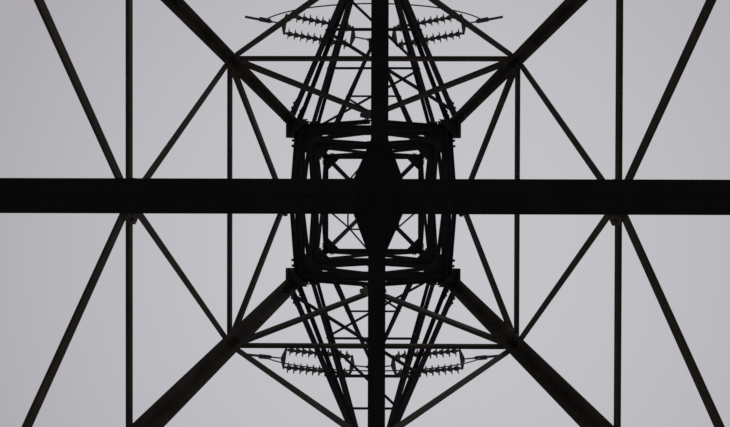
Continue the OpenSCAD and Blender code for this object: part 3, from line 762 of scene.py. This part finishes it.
class PYLON_OT_lower_bolts(bpy.types.Operator):
    """Bolt the belts and braces of the battered body to its legs and gussets"""

    bl_idname = "pylon.lower_bolts"
    bl_label = "Bolt lower body"

    def execute(self, context):
        sizes, _ = props()
        small, large = sizes.brace_bolt / MM, sizes.splice_bolt / MM
        splice_heights = [WAIST_Z - drop for drop in (280, 190, 100)]
        for quarter, name in enumerate(SIDES):
            parts, plane = [], lower_plane(quarter)
            for side in (-1, 1):
                self.belts(parts, plane, side, small)
                self.braces(parts, plane, side, small)
                self.base(parts, plane, side, small)
                points = leg_points(side, splice_heights, (36, 80))
                bolts(parts, plane, points, LEG_PLATE_FACE, -LEG_T, large)
            piece(f"lower_bolts_{name}", parts, finish("lower"))
        self.plan(small)
        return {"FINISHED"}

    def belts(self, parts, plane, side, across):
        """Belts' ends on the legs, and their middles on the gussets."""
        for z in (BASE_BAY_Z, BELT_A_Z, BELT_B_Z):
            points = leg_points(side, (z,), (42, 82), -GAUGE)
            bolts(parts, plane, points, LEG_BAR_FACE, -LEG_T, across)
        for z, steps in ((BASE_BAY_Z, (60, 130, 200)), (BELT_A_Z, (45, 100, 155))):
            points = [(side * step, slope(z) - GAUGE) for step in steps]
            bolts(parts, plane, points, LEG_BAR_FACE, GUSSET_BACK, across)

    def braces(self, parts, plane, side, across):
        """Braces of the three bays: each has its leg end, its middle end and the bolts' steps."""
        foot, fork = half_at(BASE_BAY_Z) - LEG_INSET, half_at(BELT_B_Z) - LEG_INSET
        middle, throat = (0, BELT_A_Z), (-THROAT_LAP, WAIST_Z - THROAT_TRIM)
        for (x0, z0), (x1, z1), leg_steps, steps in (
            ((foot, BASE_BAY_Z), middle, (84, 124), (123, 163)),
            ((fork, BELT_B_Z - FORK_DROP), middle, (8, 48), (123, 163)),
            ((fork, BELT_B_Z + FORK_RISE), throat, (24, 64), (110, 160)),
        ):
            brace_bolts(
                parts, plane, side, across,
                ((side * x0, slope(z0)), leg_steps, LEG_BAR_FACE, -LEG_T),
                ((side * x1, slope(z1)), steps, LEG_BAR_FACE, GUSSET_BACK),
            )

    def base(self, parts, plane, side, across):
        """Long brace of the base bay and its two short struts, outside the other bars."""
        face = BAR_T + BASE_BRACE_BACK
        toe = (half_at(SHOE_H) - TOE_INSET, SHOE_H + BASE_BRACE_W)
        knee = (KNEE_INSET, BASE_BAY_Z - PLAN_BELT_W)
        share = (BASE_STRUT_Z - toe[1]) / (knee[1] - toe[1])
        joint = (side * (toe[0] + (knee[0] - toe[0]) * share), slope(BASE_STRUT_Z))
        brace_bolts(
            parts, plane, side, across,
            ((side * toe[0], slope(toe[1])), (24, 64), face, -LEG_T),
            ((side * knee[0], slope(knee[1])), (30, 75, 120), face, GUSSET_BACK),
        )
        for z, drop in ((BASE_STRUT_Z, 0), (BASE_BAY_Z, 2 * STUB_BRACE_W)):
            end = (side * (half_at(z) - STUB_BRACE_W), slope(z - drop))
            brace_bolts(
                parts, plane, side, across,
                (end, (22,), face, -LEG_T), (joint, (38,), face, BASE_BRACE_BACK),
            )

    def plan(self, across):
        """Centre plates' bolts, the bolts through the beam's two angles and the seam's strip."""
        parts, top = [], BAR_T + GAP + PLATE_T
        below = Matrix.Translation((*CROSS, BASE_BAY_Z)) @ Matrix.Rotation(math.pi, 4, "X")
        for sx, sy in product((-1, 1), repeat=2):
            for x, y in ((42, 30), (42, 80), (105, 30), (105, 80), (18, 150), (50, 230)):
                bolt(parts, below, sx * x, sy * y, 0, -top, across)
            bolt(parts, below, sx * 22 - sy * BAR_SHIFT, sy * 285, 0, -top, across)
        for i in (-3, -2, -1, 1, 2, 3):
            plane = facing((i * 700, CROSS[1], BASE_BAY_Z + 58), (0, 1, 0))
            out = BAR_T + BEAM_GAP / 2
            bolt(parts, plane, 0, 0, out, -out, across)
        # The bolts and the strip take the beam paint, darkened as painted shade
        piece("plan_beam_bolts", parts, finish("beam"))
        # The strip fills nine tenths of the slit's width, and ends short of the beam's ends
        low, high = (corner[0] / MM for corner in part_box("plan_beam"))
        half, trim = BEAM_GAP * 0.45, 40
        strip = rectangle(low + trim, CROSS[1] - half, high - trim, CROSS[1] + half)
        seam = prism(strip, BASE_BAY_Z + 20, BASE_BAY_Z + 80)
        piece("plan_beam_seam", [seam], finish("beam"))


# Corner plates inside the posts, at the waist and on the top belt: height, side and bolts
CORNER_PLATES = (
    (WAIST_Z + PLATE_T, 270, ((45, 45), (120, 40), (40, 120))),
    (
        TOP_Z + GAP, 480,
        ((50, 50), (140, 45), (45, 140), (240, 45), (45, 240), (340, 45), (45, 340)),
    ),
)


class PYLON_OT_upper_bolts(bpy.types.Operator):
    """Bolt the upright body's belts, zigzags and splice plates, and the peak"""

    bl_idname = "pylon.upper_bolts"
    bl_label = "Bolt upper body"

    def execute(self, context):
        sizes, _ = props()
        small, large = sizes.brace_bolt / MM, sizes.splice_bolt / MM
        for quarter, name in enumerate(SIDES):
            parts, plane = [], upper_plane(quarter)
            self.belts(parts, plane, small)
            self.zigzags(parts, plane, small)
            self.outward_nuts(parts, plane, 1.2 * large)
            self.splices(parts, quarter, large)
            piece(f"upper_bolts_{name}", parts, finish("upper"))
        self.peak(small)
        self.corners(small)
        return {"FINISHED"}

    def belts(self, parts, plane, across):
        """Belts' ends on the posts."""
        for z, width in (
            (BELT_1_Z, HEAVY_BELT_W), (BELT_2_Z, LIGHT_BELT_W), (BELT_3_Z, HEAVY_BELT_W),
            (BELT_4_Z, LIGHT_BELT_W), (TOP_Z - TOP_BELT_W, TOP_BELT_W),
        ):
            for side in (-1, 1):
                points = [
                    (side * (BODY_HALF - inset), z + width / 2 - GAUGE) for inset in (42, 84)
                ]
                bolts(parts, plane, points, 0, SIDE_BACK, across)

    def zigzags(self, parts, plane, across):
        """Zigzags' ends on the posts, and in the middle on belts or on gussets."""
        gusseted = (WAIST_Z + ZIGZAG_W, UPPER_Z)
        path = (
            (APEX_X, WAIST_Z + ZIGZAG_W), (NODE_X, BELT_1_Z - NODE_DROP),
            (APEX_X, BELT_2_Z - NODE_DROP), (NODE_X, MIDDLE_Z), (APEX_X, BELT_3_Z + NODE_DROP),
            (NODE_X, BELT_4_Z), (APEX_X, UPPER_Z), (NODE_X, TOP_Z - 2 * NODE_DROP),
        )
        for ends in zip(path, path[1:]):
            (apex_x, apex_z), (node_x, node_z) = sorted(ends)
            back = SIDE_BACK - PLATE_T + BITE if apex_z in gusseted else SIDE_BACK
            for side in (-1, 1):
                brace_bolts(
                    parts, plane, side, across,
                    ((side * node_x, node_z), (14,), 0, SIDE_BACK),
                    ((side * apex_x, apex_z), (26, 66), SIDE_FACE, back),
                )

    def outward_nuts(self, parts, plane, across):
        """Bolts of the top belt and of the lowest zigzag, whose nuts face outwards."""
        outside, inside, zigzag_rise = POST_T + GAP, POST_T + GAP + BAR_T, 0.736
        flipped = plane @ Matrix.Rotation(math.pi, 4, "Y")
        for side in (-1, 1):
            points = [(side * x, TOP_Z - 82) for x in (985, 1037)]
            points += [
                (side * x, WAIST_Z + ZIGZAG_W + zigzag_rise * (x - APEX_X)) for x in (868, 958)
            ]
            bolts(parts, flipped, points, inside, outside, across)

    def splices(self, parts, quarter, across):
        """Splice plates at the waist, some below a root plate, and those at the peak's foot."""
        plane = upper_plane(quarter)
        for side in (-1, 1):
            for rise in (50, 115, 180, 285):
                rooted = quarter in SIDEWAYS and rise < ROOT_PLATE_H
                points = [(side * (BODY_HALF - inset), WAIST_Z + rise) for inset in (36, 80)]
                bolts(parts, plane, points, ROOT_FACE if rooted else PLATE_T, -POST_T, across)
            for rise in (60, 125):
                spot = (side * (BODY_HALF - 42), POST_TOP_Z - rise)
                bolt(parts, plane, *spot, PLATE_T, -POST_T, across)
                points = peak_points(side, (POST_TOP_Z + rise,), 42)
                bolts(
                    parts, peak_plane(quarter), points, LEG_PLATE_FACE, -PEAK_LEG_T, across
                )

    def peak(self, across):
        """Ends of the peak's belt, and the plates of the head."""
        parts = []
        heights = [HEAD_Z - HEAD_PLATE_H + rise for rise in (45, 105, 165)]
        for quarter, side in product(range(4), (-1, 1)):
            plane = peak_plane(quarter)
            points = peak_points(side, (PEAK_BELT_Z,), 40, -GAUGE)
            bolts(parts, plane, points, LEG_BAR_FACE, -PEAK_LEG_T, across)
            points = peak_points(side, heights, 34)
            bolts(parts, plane, points, LEG_PLATE_FACE, -PEAK_LEG_T, across)
        piece("peak_bolts", parts, finish("upper"))

    def corners(self, across):
        """Bolts of the corner plates."""
        parts = []
        for quarter, (z, _, points) in product(range(4), CORNER_PLATES):
            bolts(parts, corner_plane(quarter, z), points, PLATE_T, 0, across)
        piece("corner_plate_bolts", parts, finish("upper"))


class PYLON_OT_gussets(bpy.types.Operator):
    """Add the corner plates, the waist gussets and the thin braces of the peak"""

    bl_idname = "pylon.gussets"
    bl_label = "Add gussets and peak braces"

    def execute(self, context):
        across = props()[0].brace_bolt / MM
        self.body_plates()
        self.belt_plates(across)
        self.waist_gussets(across)
        self.peak_braces(across)
        return {"FINISHED"}

    def body_plates(self):
        """Corner plates at the waist and on the top belt, which stand for the frame's."""
        plates = []
        for (z, side, _), quarter in product(CORNER_PLATES, range(4)):
            form = prism([(0, 0), (side, 0), (0, side)], 0, PLATE_T)
            stamp(plates, form, corner_plane(quarter, z))
        made = piece("body_corner_plates", plates, finish("upper"))
        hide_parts("corner_plates")

    def belt_plates(self, across):
        """Corner plates on two belts of the upright body: cut at the heel, blunt at the ends."""
        plates, fasteners, cut, blunt = [], [], 25, 18
        for z, side in (
            (BELT_2_Z + LIGHT_BELT_W + GAP, 425), (BELT_3_Z + HEAVY_BELT_W + GAP, 475)
        ):
            outline = [(cut, 0), (side, 0), (side, blunt), (blunt, side), (0, side), (0, cut)]
            points = [p for x in (90, 190, 290, side - 65) for p in ((x, 40), (40, x))]
            for quarter in range(4):
                plane = corner_plane(quarter, z)
                stamp(plates, prism(outline, 0, PLATE_T), plane)
                bolts(fasteners, plane, points, PLATE_T, -GAP - BAR_T, across)
        piece("belt_corner_plates", plates, finish("upper"))
        piece("belt_plate_bolts", fasteners, finish("upper"))

    def waist_gussets(self, across):
        """Gussets between the posts and the lowest zigzags, each with a lap plate behind. On
        the right and left sides they run on below the waist, along the legs."""
        lower, upper, fasteners = [], [], []
        # The gussets lie level with the posts' flanges and the laps behind them, with edges half
        # a millimetre off the posts' and 2 mm off the legs'
        front, back = -0.5, -POST_T - GAP
        post_edge, leg_edge = BODY_HALF - POST_W - 0.5, POST_W + 2
        low, high = WAIST_Z - 120, WAIST_Z + 4
        for quarter, side in product(range(4), (-1, 1)):
            plane, wide = upper_plane(quarter), quarter in SIDEWAYS
            if wide:
                outline = [
                    (side * (half_at(low) - leg_edge), slope(low)), (side * 931, slope(low)),
                    (side * 937, slope(high)), (side * (BODY_HALF - leg_edge), slope(high)),
                ][:: -side]
                stamp(lower, prism(outline, GAP, LEG_PLATE_FACE), lower_plane(quarter))
            foot_x, foot_rise = (937, -2) if wide else (950, 360)
            outline = [
                (post_edge, foot_rise), (foot_x, foot_rise), (990, 715), (post_edge, 840)
            ]
            lap = [(1190, 345), (1010, 345), (1010, 440), (1190, 520)]
            for points, face in ((outline, front), (lap, back)):
                points = [(side * x, WAIST_Z + rise) for x, rise in points][:: -side]
                stamp(upper, prism(points, face - PLATE_T, face), plane)
            spots = [(side * x, WAIST_Z + rise) for x, rise in product((1045, 1160), (385, 430))]
            bolts(fasteners, plane, spots, 0, back - PLATE_T, across)
        piece("waist_gussets_lower", lower, finish("lower"))
        piece("waist_gussets_upper", upper, finish("upper"))
        piece("waist_gusset_bolts", fasteners, finish("upper"))

    def peak_braces(self, across):
        """Light angles from the middle of the top belt up to the ends of the peak's belt."""
        bars, fasteners = [], []
        width, thick, trims, bolt_inset = 32, 4, (8, 90), 25
        z_low, z_high = TOP_Z - 50, PEAK_BELT_Z
        low_y = -BODY_HALF + POST_T
        high_y = -peak_half(z_high) + PEAK_LEG_T + thick + 2 * GAP
        for quarter, side in product(range(4), (-1, 1)):
            place = turned(quarter)
            low = place @ Vector((side * 40, low_y, z_low))
            high = place @ Vector((side * (peak_half(z_high) - 30), high_y, z_high))
            lean = Vector((0, z_low - z_high, high_y - low_y)).normalized()
            outward = place.to_3x3() @ lean
            angle_bar(bars, low, high, outward, (width, thick), trims, -side)
            way, run = (high - low).normalized(), (high - low).length
            for step, into in ((bolt_inset, -BAR_T), (run - bolt_inset, 0)):
                spot = facing(low + way * step, outward)
                bolt(fasteners, spot, 0, 0, thick, into, across * 0.8)
        piece("peak_braces", bars, finish("upper"))
        piece("peak_brace_bolts", fasteners, finish("upper"))


class PYLON_OT_arm_bolts(bpy.types.Operator):
    """Bolt the crossarms' root plates, trusses, floors and tip plates"""

    bl_idname = "pylon.arm_bolts"
    bl_label = "Bolt crossarms"

    def execute(self, context):
        sizes, _ = props()
        small, large = sizes.brace_bolt / MM, sizes.splice_bolt / MM
        for tier, z, reach, struts, first in TIERS:
            parts = []
            for half_turn in (0, 2):
                base = turned(half_turn) @ Matrix.Translation((0, 0, z))
                for side in (-1, 1):
                    self.root(parts, base, side, large)
                    self.truss(parts, base, side, reach, struts, small, large)
                self.floor(parts, base, reach, struts, first, small)
            piece(f"{tier}_arm_bolts", parts, finish("upper"))
        return {"FINISHED"}

    def root(self, parts, base, side, across):
        """Root plates' bolts through the posts' sides, three rows at either chord."""
        rises = (50, 100, 150, ARM_H - 90, ARM_H - 40, ARM_H + 20)
        for rise, inset in product(rises, (40, 82)):
            spot = facing((side * BODY_HALF, -BODY_HALF + inset, rise), (side, 0, 0))
            bolt(parts, base @ spot, 0, 0, ROOT_FACE, -POST_T, across)

    def truss(self, parts, base, side, reach, struts, small, large):
        """Bolts of a side truss in pairs, on the bottom and the top chord: its root plates'
        and then its struts'."""
        root, tip = Vector((side * ROOT_X, -BODY_HALF, 0)), Vector((side * TIP_X, -reach, 0))
        way, run = (tip - root).normalized(), (tip - root).length
        outward = Vector((-way.y, way.x, 0)) * side
        pairs = [(step, 40, 0, PLATE_T, large) for step in (90, 165, 240)]
        pairs += [
            ((y - BODY_HALF) / (reach - BODY_HALF) * run, 50, 8, 0, small) for y in struts
        ]
        for step, low, drop, out, across in pairs:
            top = ARM_H + (TIP_RISE - ARM_H) * (step - CHORD_START) / (run - CHORD_START)
            for rise in (low, top - drop):
                spot = facing(root + way * step + Vector((0, 0, rise)), outward)
                bolt(parts, base @ spot, 0, 0, out, -BAR_T, across)

    def floor(self, parts, base, reach, struts, first, across):
        """Floor's struts and tip plate on the bottom chords, then the ends of its lacing."""
        top = 2 * BAR_T + GAP
        for side in (-1, 1):
            for y, inset in product(struts, (40, 66)):
                bolt(parts, base, side * (arm_x(reach, y) - inset), -y - 2, top, 0, across)
            for y in (reach - 135, reach - 200):
                x = side * (arm_x(reach, y) - 42)
                bolt(parts, base, x, -y, BAR_T, -TIP_PLATE_T - GAP, across)
        for i, (near, far) in enumerate(zip((BODY_HALF, *struts), struts)):
            side = -first if i % 2 else first
            y0, y1 = near + LACE_AFTER, far - LACE_BEFORE
            start = (side * (arm_x(reach, y0) - LACING_W), -y0)
            end = (-side * (arm_x(reach, y1) - LACING_W), -y1)
            for a, b in ((start, end), (end, start)):
                bolts(parts, base, along(a, b, (16, 46)), top, 0, across)


class PYLON_OT_strings(bpy.types.Operator):
    """Build the tension strings of glass discs, caps and pins in place of their plain solids"""

    bl_idname = "pylon.strings"
    bl_label = "Build insulator strings"

    def execute(self, context):
        r = props()[0].shed_d / MM / 2
        # Disc from its neck over the rim to the two ribs below, its cap, and the pin that goes
        # into the next cap, all measured from the cap's top
        shed = lathe(
            [(0, 66), (56, 66), (62, 71), (90, 78), (114, 83), (r, 86), (r, 92), (r - 4, 93),
             (114, 91), (97, 90), (95, 97), (91, 97), (89, 89), (75, 88), (73, 95), (69, 95),
             (67, 87), (50, 86), (0, 86)],
            28,
        )
        cap = lathe(
            [(0, 0), (26, 0), (32, 4), (45, 12), (53, 28), (58, 48), (60, 62), (60, 68),
             (52, 72), (0, 72)],
            16,
        )
        pin = lathe(
            [(0, 84), (44, 84), (38, 92), (33, 104), (30, DISC_PITCH), (0, DISC_PITCH)], 12
        )
        for tier, z, reach, _, _ in TIERS:
            glass, metal = [], []
            for y, side, across in product((-reach, reach), (-1, 1), (-1, 1)):
                start = Matrix.Translation((LINK_L + YOKE_DEPTH, across * STRING_GAP / 2, 0))
                string = (
                    dipped_plane(z, y, side) @ start @ Matrix.Rotation(math.pi / 2, 4, "Y")
                )
                for i in range(DISC_COUNT):
                    spot = string @ Matrix.Translation((0, 0, i * DISC_PITCH))
                    stamp(glass, shed, spot)
                    stamp(metal, cap, spot)
                    stamp(metal, pin, spot)
            sheds = piece(f"{tier}_glass_discs", glass, finish("glass"), 40)
            piece(f"{tier}_caps_and_pins", metal, finish("zinc"), 40)
            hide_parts(f"{tier}_strings")
        return {"FINISHED"}


class PYLON_OT_fittings(bpy.types.Operator):
    """Fit the pins, nuts and clamp bolts of the string sets"""

    bl_idname = "pylon.fittings"
    bl_label = "Fit string hardware"

    def execute(self, context):
        small = props()[0].brace_bolt / MM
        # Outsides of the fork's ears, the links and the yokes' sockets, from the set's axis
        ear, link, socket = TIP_PLATE_T / 2 + GAP + 12, 16, 20
        lug_back = -PALM_DEPTH - LUG_T - GAP
        for tier, z, reach, _, _ in TIERS:
            parts = []
            for y, side in product((-reach, reach), (-1, 1)):
                dipped = dipped_plane(z, y, side)
                bolt(parts, set_plane(z, y, side), 0, 0, ear, -ear, 30)
                for x in (LINK_L - 20, OUTER_YOKE_X + 20):
                    bolt(parts, dipped, x, 0, link, -link, small)
                for x, across in product((LINK_L + 42, OUTER_YOKE_X - 42), (-1, 1)):
                    bolt(parts, dipped, x, across * STRING_GAP / 2, socket, -socket, small)
                for x, across in product((90, 150, 210, 270), (-36, 36)):
                    bolt(parts, dipped, CLAMP_X + x, across, 0, lug_back, 16)
            piece(f"{tier}_set_bolts", parts, finish("zinc"))
        return {"FINISHED"}


class PYLON_OT_jumpers(bpy.types.Operator):
    """Hang the stranded jumper loops below the tips, from palm to palm, with their lugs"""

    bl_idname = "pylon.jumpers"
    bl_label = "Hang jumper loops"

    def execute(self, context):
        # Each loop is an arc through both seats, in the upright plane that holds them
        out = PALM_MIDDLE * math.cos(STRING_DIP) - JUMPER_SEAT * math.sin(STRING_DIP)
        half = PIN_X + out * math.cos(LINE_TURN)
        radius = (half * half + JUMPER_DROP**2) / (2 * JUMPER_DROP)
        sweep = math.asin(half / radius)
        back = out * math.sin(LINE_TURN)
        fall = TIP_PLATE_T / 2 + GAP
        fall += PALM_MIDDLE * math.sin(STRING_DIP)
        fall += JUMPER_SEAT * math.cos(STRING_DIP)
        for tier, z, reach, _, _ in TIERS:
            lugs = []
            low = z - fall - JUMPER_DROP
            for place, y in (("front", -reach), ("back", reach)):
                route = [
                    (radius * math.sin(a), y - back, low + radius * (1 - math.cos(a)))
                    for a in np.linspace(-sweep, sweep, 33)
                ]
                self.loop(f"{tier}_jumper_{place}", route, 2 * sweep * radius)
                for side in (-1, 1):
                    seat = Matrix.Translation((PALM_MIDDLE, 0, -JUMPER_SEAT))
                    stamp(lugs, self.lug(), dipped_plane(z, y, side) @ seat)
            piece(f"{tier}_jumper_lugs", lugs, finish("strand"))
        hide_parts("jumper_loops")
        return {"FINISHED"}

    def lug(self):
        """Flat lug under a clamp's palm, with its two outer corners cut."""
        end, half, cut = PALM_L / 2, 44, 6
        outline = [
            (-end, -half), (end - cut, -half), (end, cut - half), (end, half - cut),
            (end - cut, half), (-end, half),
        ]
        return prism(outline, -LUG_T / 2, LUG_T / 2)

    def loop(self, name, route, run):
        """One conductor along its route; run, its true length, is not used."""
        curve = bpy.data.curves.new(name, "CURVE")
        curve.dimensions = "3D"
        curve.bevel_depth = JUMPER_D / 2 * MM
        curve.bevel_resolution = 3
        curve.use_fill_caps = True
        spline = curve.splines.new("POLY")
        spline.points.add(len(route) - 1)
        for point, place in zip(spline.points, route):
            point.co = (*(c * MM for c in place), 1)
        made = put(name, curve)
        curve.materials.append(finish("strand"))
        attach(made, "root")
        return made


class PYLON_OT_stage(bpy.types.Operator):
    """Set the floor, the soft studio light and the camera under the pylon"""

    bl_idname = "pylon.stage"
    bl_label = "Set stage"

    def execute(self, context):
        scene = context.scene
        # A round floor of 90 m radius, 20 mm thick, in metres
        verts, faces = lathe(disc(90, -0.02, 0), 96)
        mesh = bpy.data.meshes.new("studio_floor")
        mesh.from_pydata(verts.tolist(), [], faces)
        mesh.materials.append(finish("floor"))
        put("studio_floor", mesh)
        self.world(scene)
        sun = bpy.data.lights.new("soft_key", "SUN")
        sun.energy, sun.angle = 1.0, math.radians(12)
        put("soft_key", sun).rotation_euler = [math.radians(turn) for turn in (38, 14, 25)]
        self.camera(scene)
        scene.view_settings.view_transform = "Standard"
        return {"FINISHED"}

    def world(self, scene):
        """Backdrop that fades from its brightest spot, over an even light that isn't seen."""
        _, colours = props()
        world = bpy.data.worlds.new("soft_studio")
        scene.world = world
        world.use_nodes = True
        tree = world.node_tree
        tree.nodes.clear()
        closeness = add(
            tree, "ShaderNodeVectorMath", {"operation": "DOT_PRODUCT"},
            _0=add(tree, "ShaderNodeTexCoord").outputs["Generated"], _1=BRIGHTEST.normalized(),
        ).outputs["Value"]
        away = add(
            tree, "ShaderNodeMapRange", Value=closeness, From_Min=1.0, From_Max=EDGE_COSINE
        )
        backdrop = add(
            tree, "ShaderNodeMix", {"data_type": "RGBA"}, Factor=away.outputs[0],
            _6=rgba(colours.sky), _7=rgba(colours.sky_edge),
        ).outputs[2]
        path = add(tree, "ShaderNodeLightPath").outputs
        direct = add(
            tree, "ShaderNodeMath", {"operation": "MAXIMUM"}, _0=path["Is Camera Ray"],
            _1=path["Is Glossy Ray"],
        )
        seen = add(
            tree, "ShaderNodeMath", {"operation": "MAXIMUM"}, _0=direct.outputs[0],
            _1=path["Is Transmission Ray"],
        )
        light = add(tree, "ShaderNodeBackground", Color=SKY_LIGHT, Strength=0.7)
        shown = add(tree, "ShaderNodeBackground", Color=backdrop, Strength=1.0)
        both = add(
            tree, "ShaderNodeMixShader", _0=seen.outputs[0], _1=light.outputs[0],
            _2=shown.outputs[0],
        )
        add(tree, "ShaderNodeOutputWorld", Surface=both.outputs[0])

    def camera(self, scene):
        """Camera that looks almost straight up, with its frame's width along the line."""
        data = bpy.data.cameras.new("camera")
        data.sensor_fit, data.sensor_width = "HORIZONTAL", SENSOR_MM
        data.lens = CAMERA_FOCAL_PX / CAMERA_FRAME_PX * SENSOR_MM
        data.clip_end = 300
        back = -Vector((*CAMERA_LEAN, 1)).normalized()
        across = Vector((math.cos(CAMERA_ROLL), math.sin(CAMERA_ROLL), 0))
        up = back.cross(across).normalized()
        scene.camera = put("camera", data)
        scene.camera.matrix_world = basis(CAMERA_PLACE, up.cross(back), up, back)


class PYLON_PT_panel(bpy.types.Panel):
    """Sidebar panel with the pylon's sizes, colours and steps"""

    bl_idname = "PYLON_PT_panel"
    bl_label = "Lattice Pylon"
    bl_space_type = "VIEW_3D"
    bl_region_type = "UI"
    bl_category = "Pylon"

    def draw(self, context):
        for group in (context.scene.pylon_sizes, context.scene.pylon_colours):
            column = self.layout.column()
            for key in group.__annotations__:
                column.prop(group, key)
        for operator in OPERATORS:
            self.layout.operator(operator.bl_idname)


# In the order in which main calls them
OPERATORS = (
    PYLON_OT_stage,
    PYLON_OT_jumpers,
    PYLON_OT_steelwork,
    PYLON_OT_feet,
    PYLON_OT_lower_bolts,
    PYLON_OT_upper_bolts,
    PYLON_OT_gussets,
    PYLON_OT_arm_bolts,
    PYLON_OT_strings,
    PYLON_OT_fittings,
)
CLASSES = (PylonSizes, PylonColours, *OPERATORS, PYLON_PT_panel)


def register():
    """Registers the classes and gives every scene its sizes and colours."""
    for cls in CLASSES:
        bpy.utils.register_class(cls)
    bpy.types.Scene.pylon_sizes = PointerProperty(type=PylonSizes)
    bpy.types.Scene.pylon_colours = PointerProperty(type=PylonColours)


def unregister():
    """Takes back what register did."""
    del bpy.types.Scene.pylon_colours
    del bpy.types.Scene.pylon_sizes
    for cls in reversed(CLASSES):
        bpy.utils.unregister_class(cls)


def main():
    """Builds everything in order."""
    register()
    bpy.ops.pylon.stage()
    bpy.ops.pylon.jumpers()
    bpy.ops.pylon.steelwork()
    bpy.ops.pylon.feet()
    bpy.ops.pylon.lower_bolts()
    bpy.ops.pylon.upper_bolts()
    bpy.ops.pylon.gussets()
    bpy.ops.pylon.arm_bolts()
    bpy.ops.pylon.strings()
    bpy.ops.pylon.fittings()


if __name__ == "__main__":
    main()
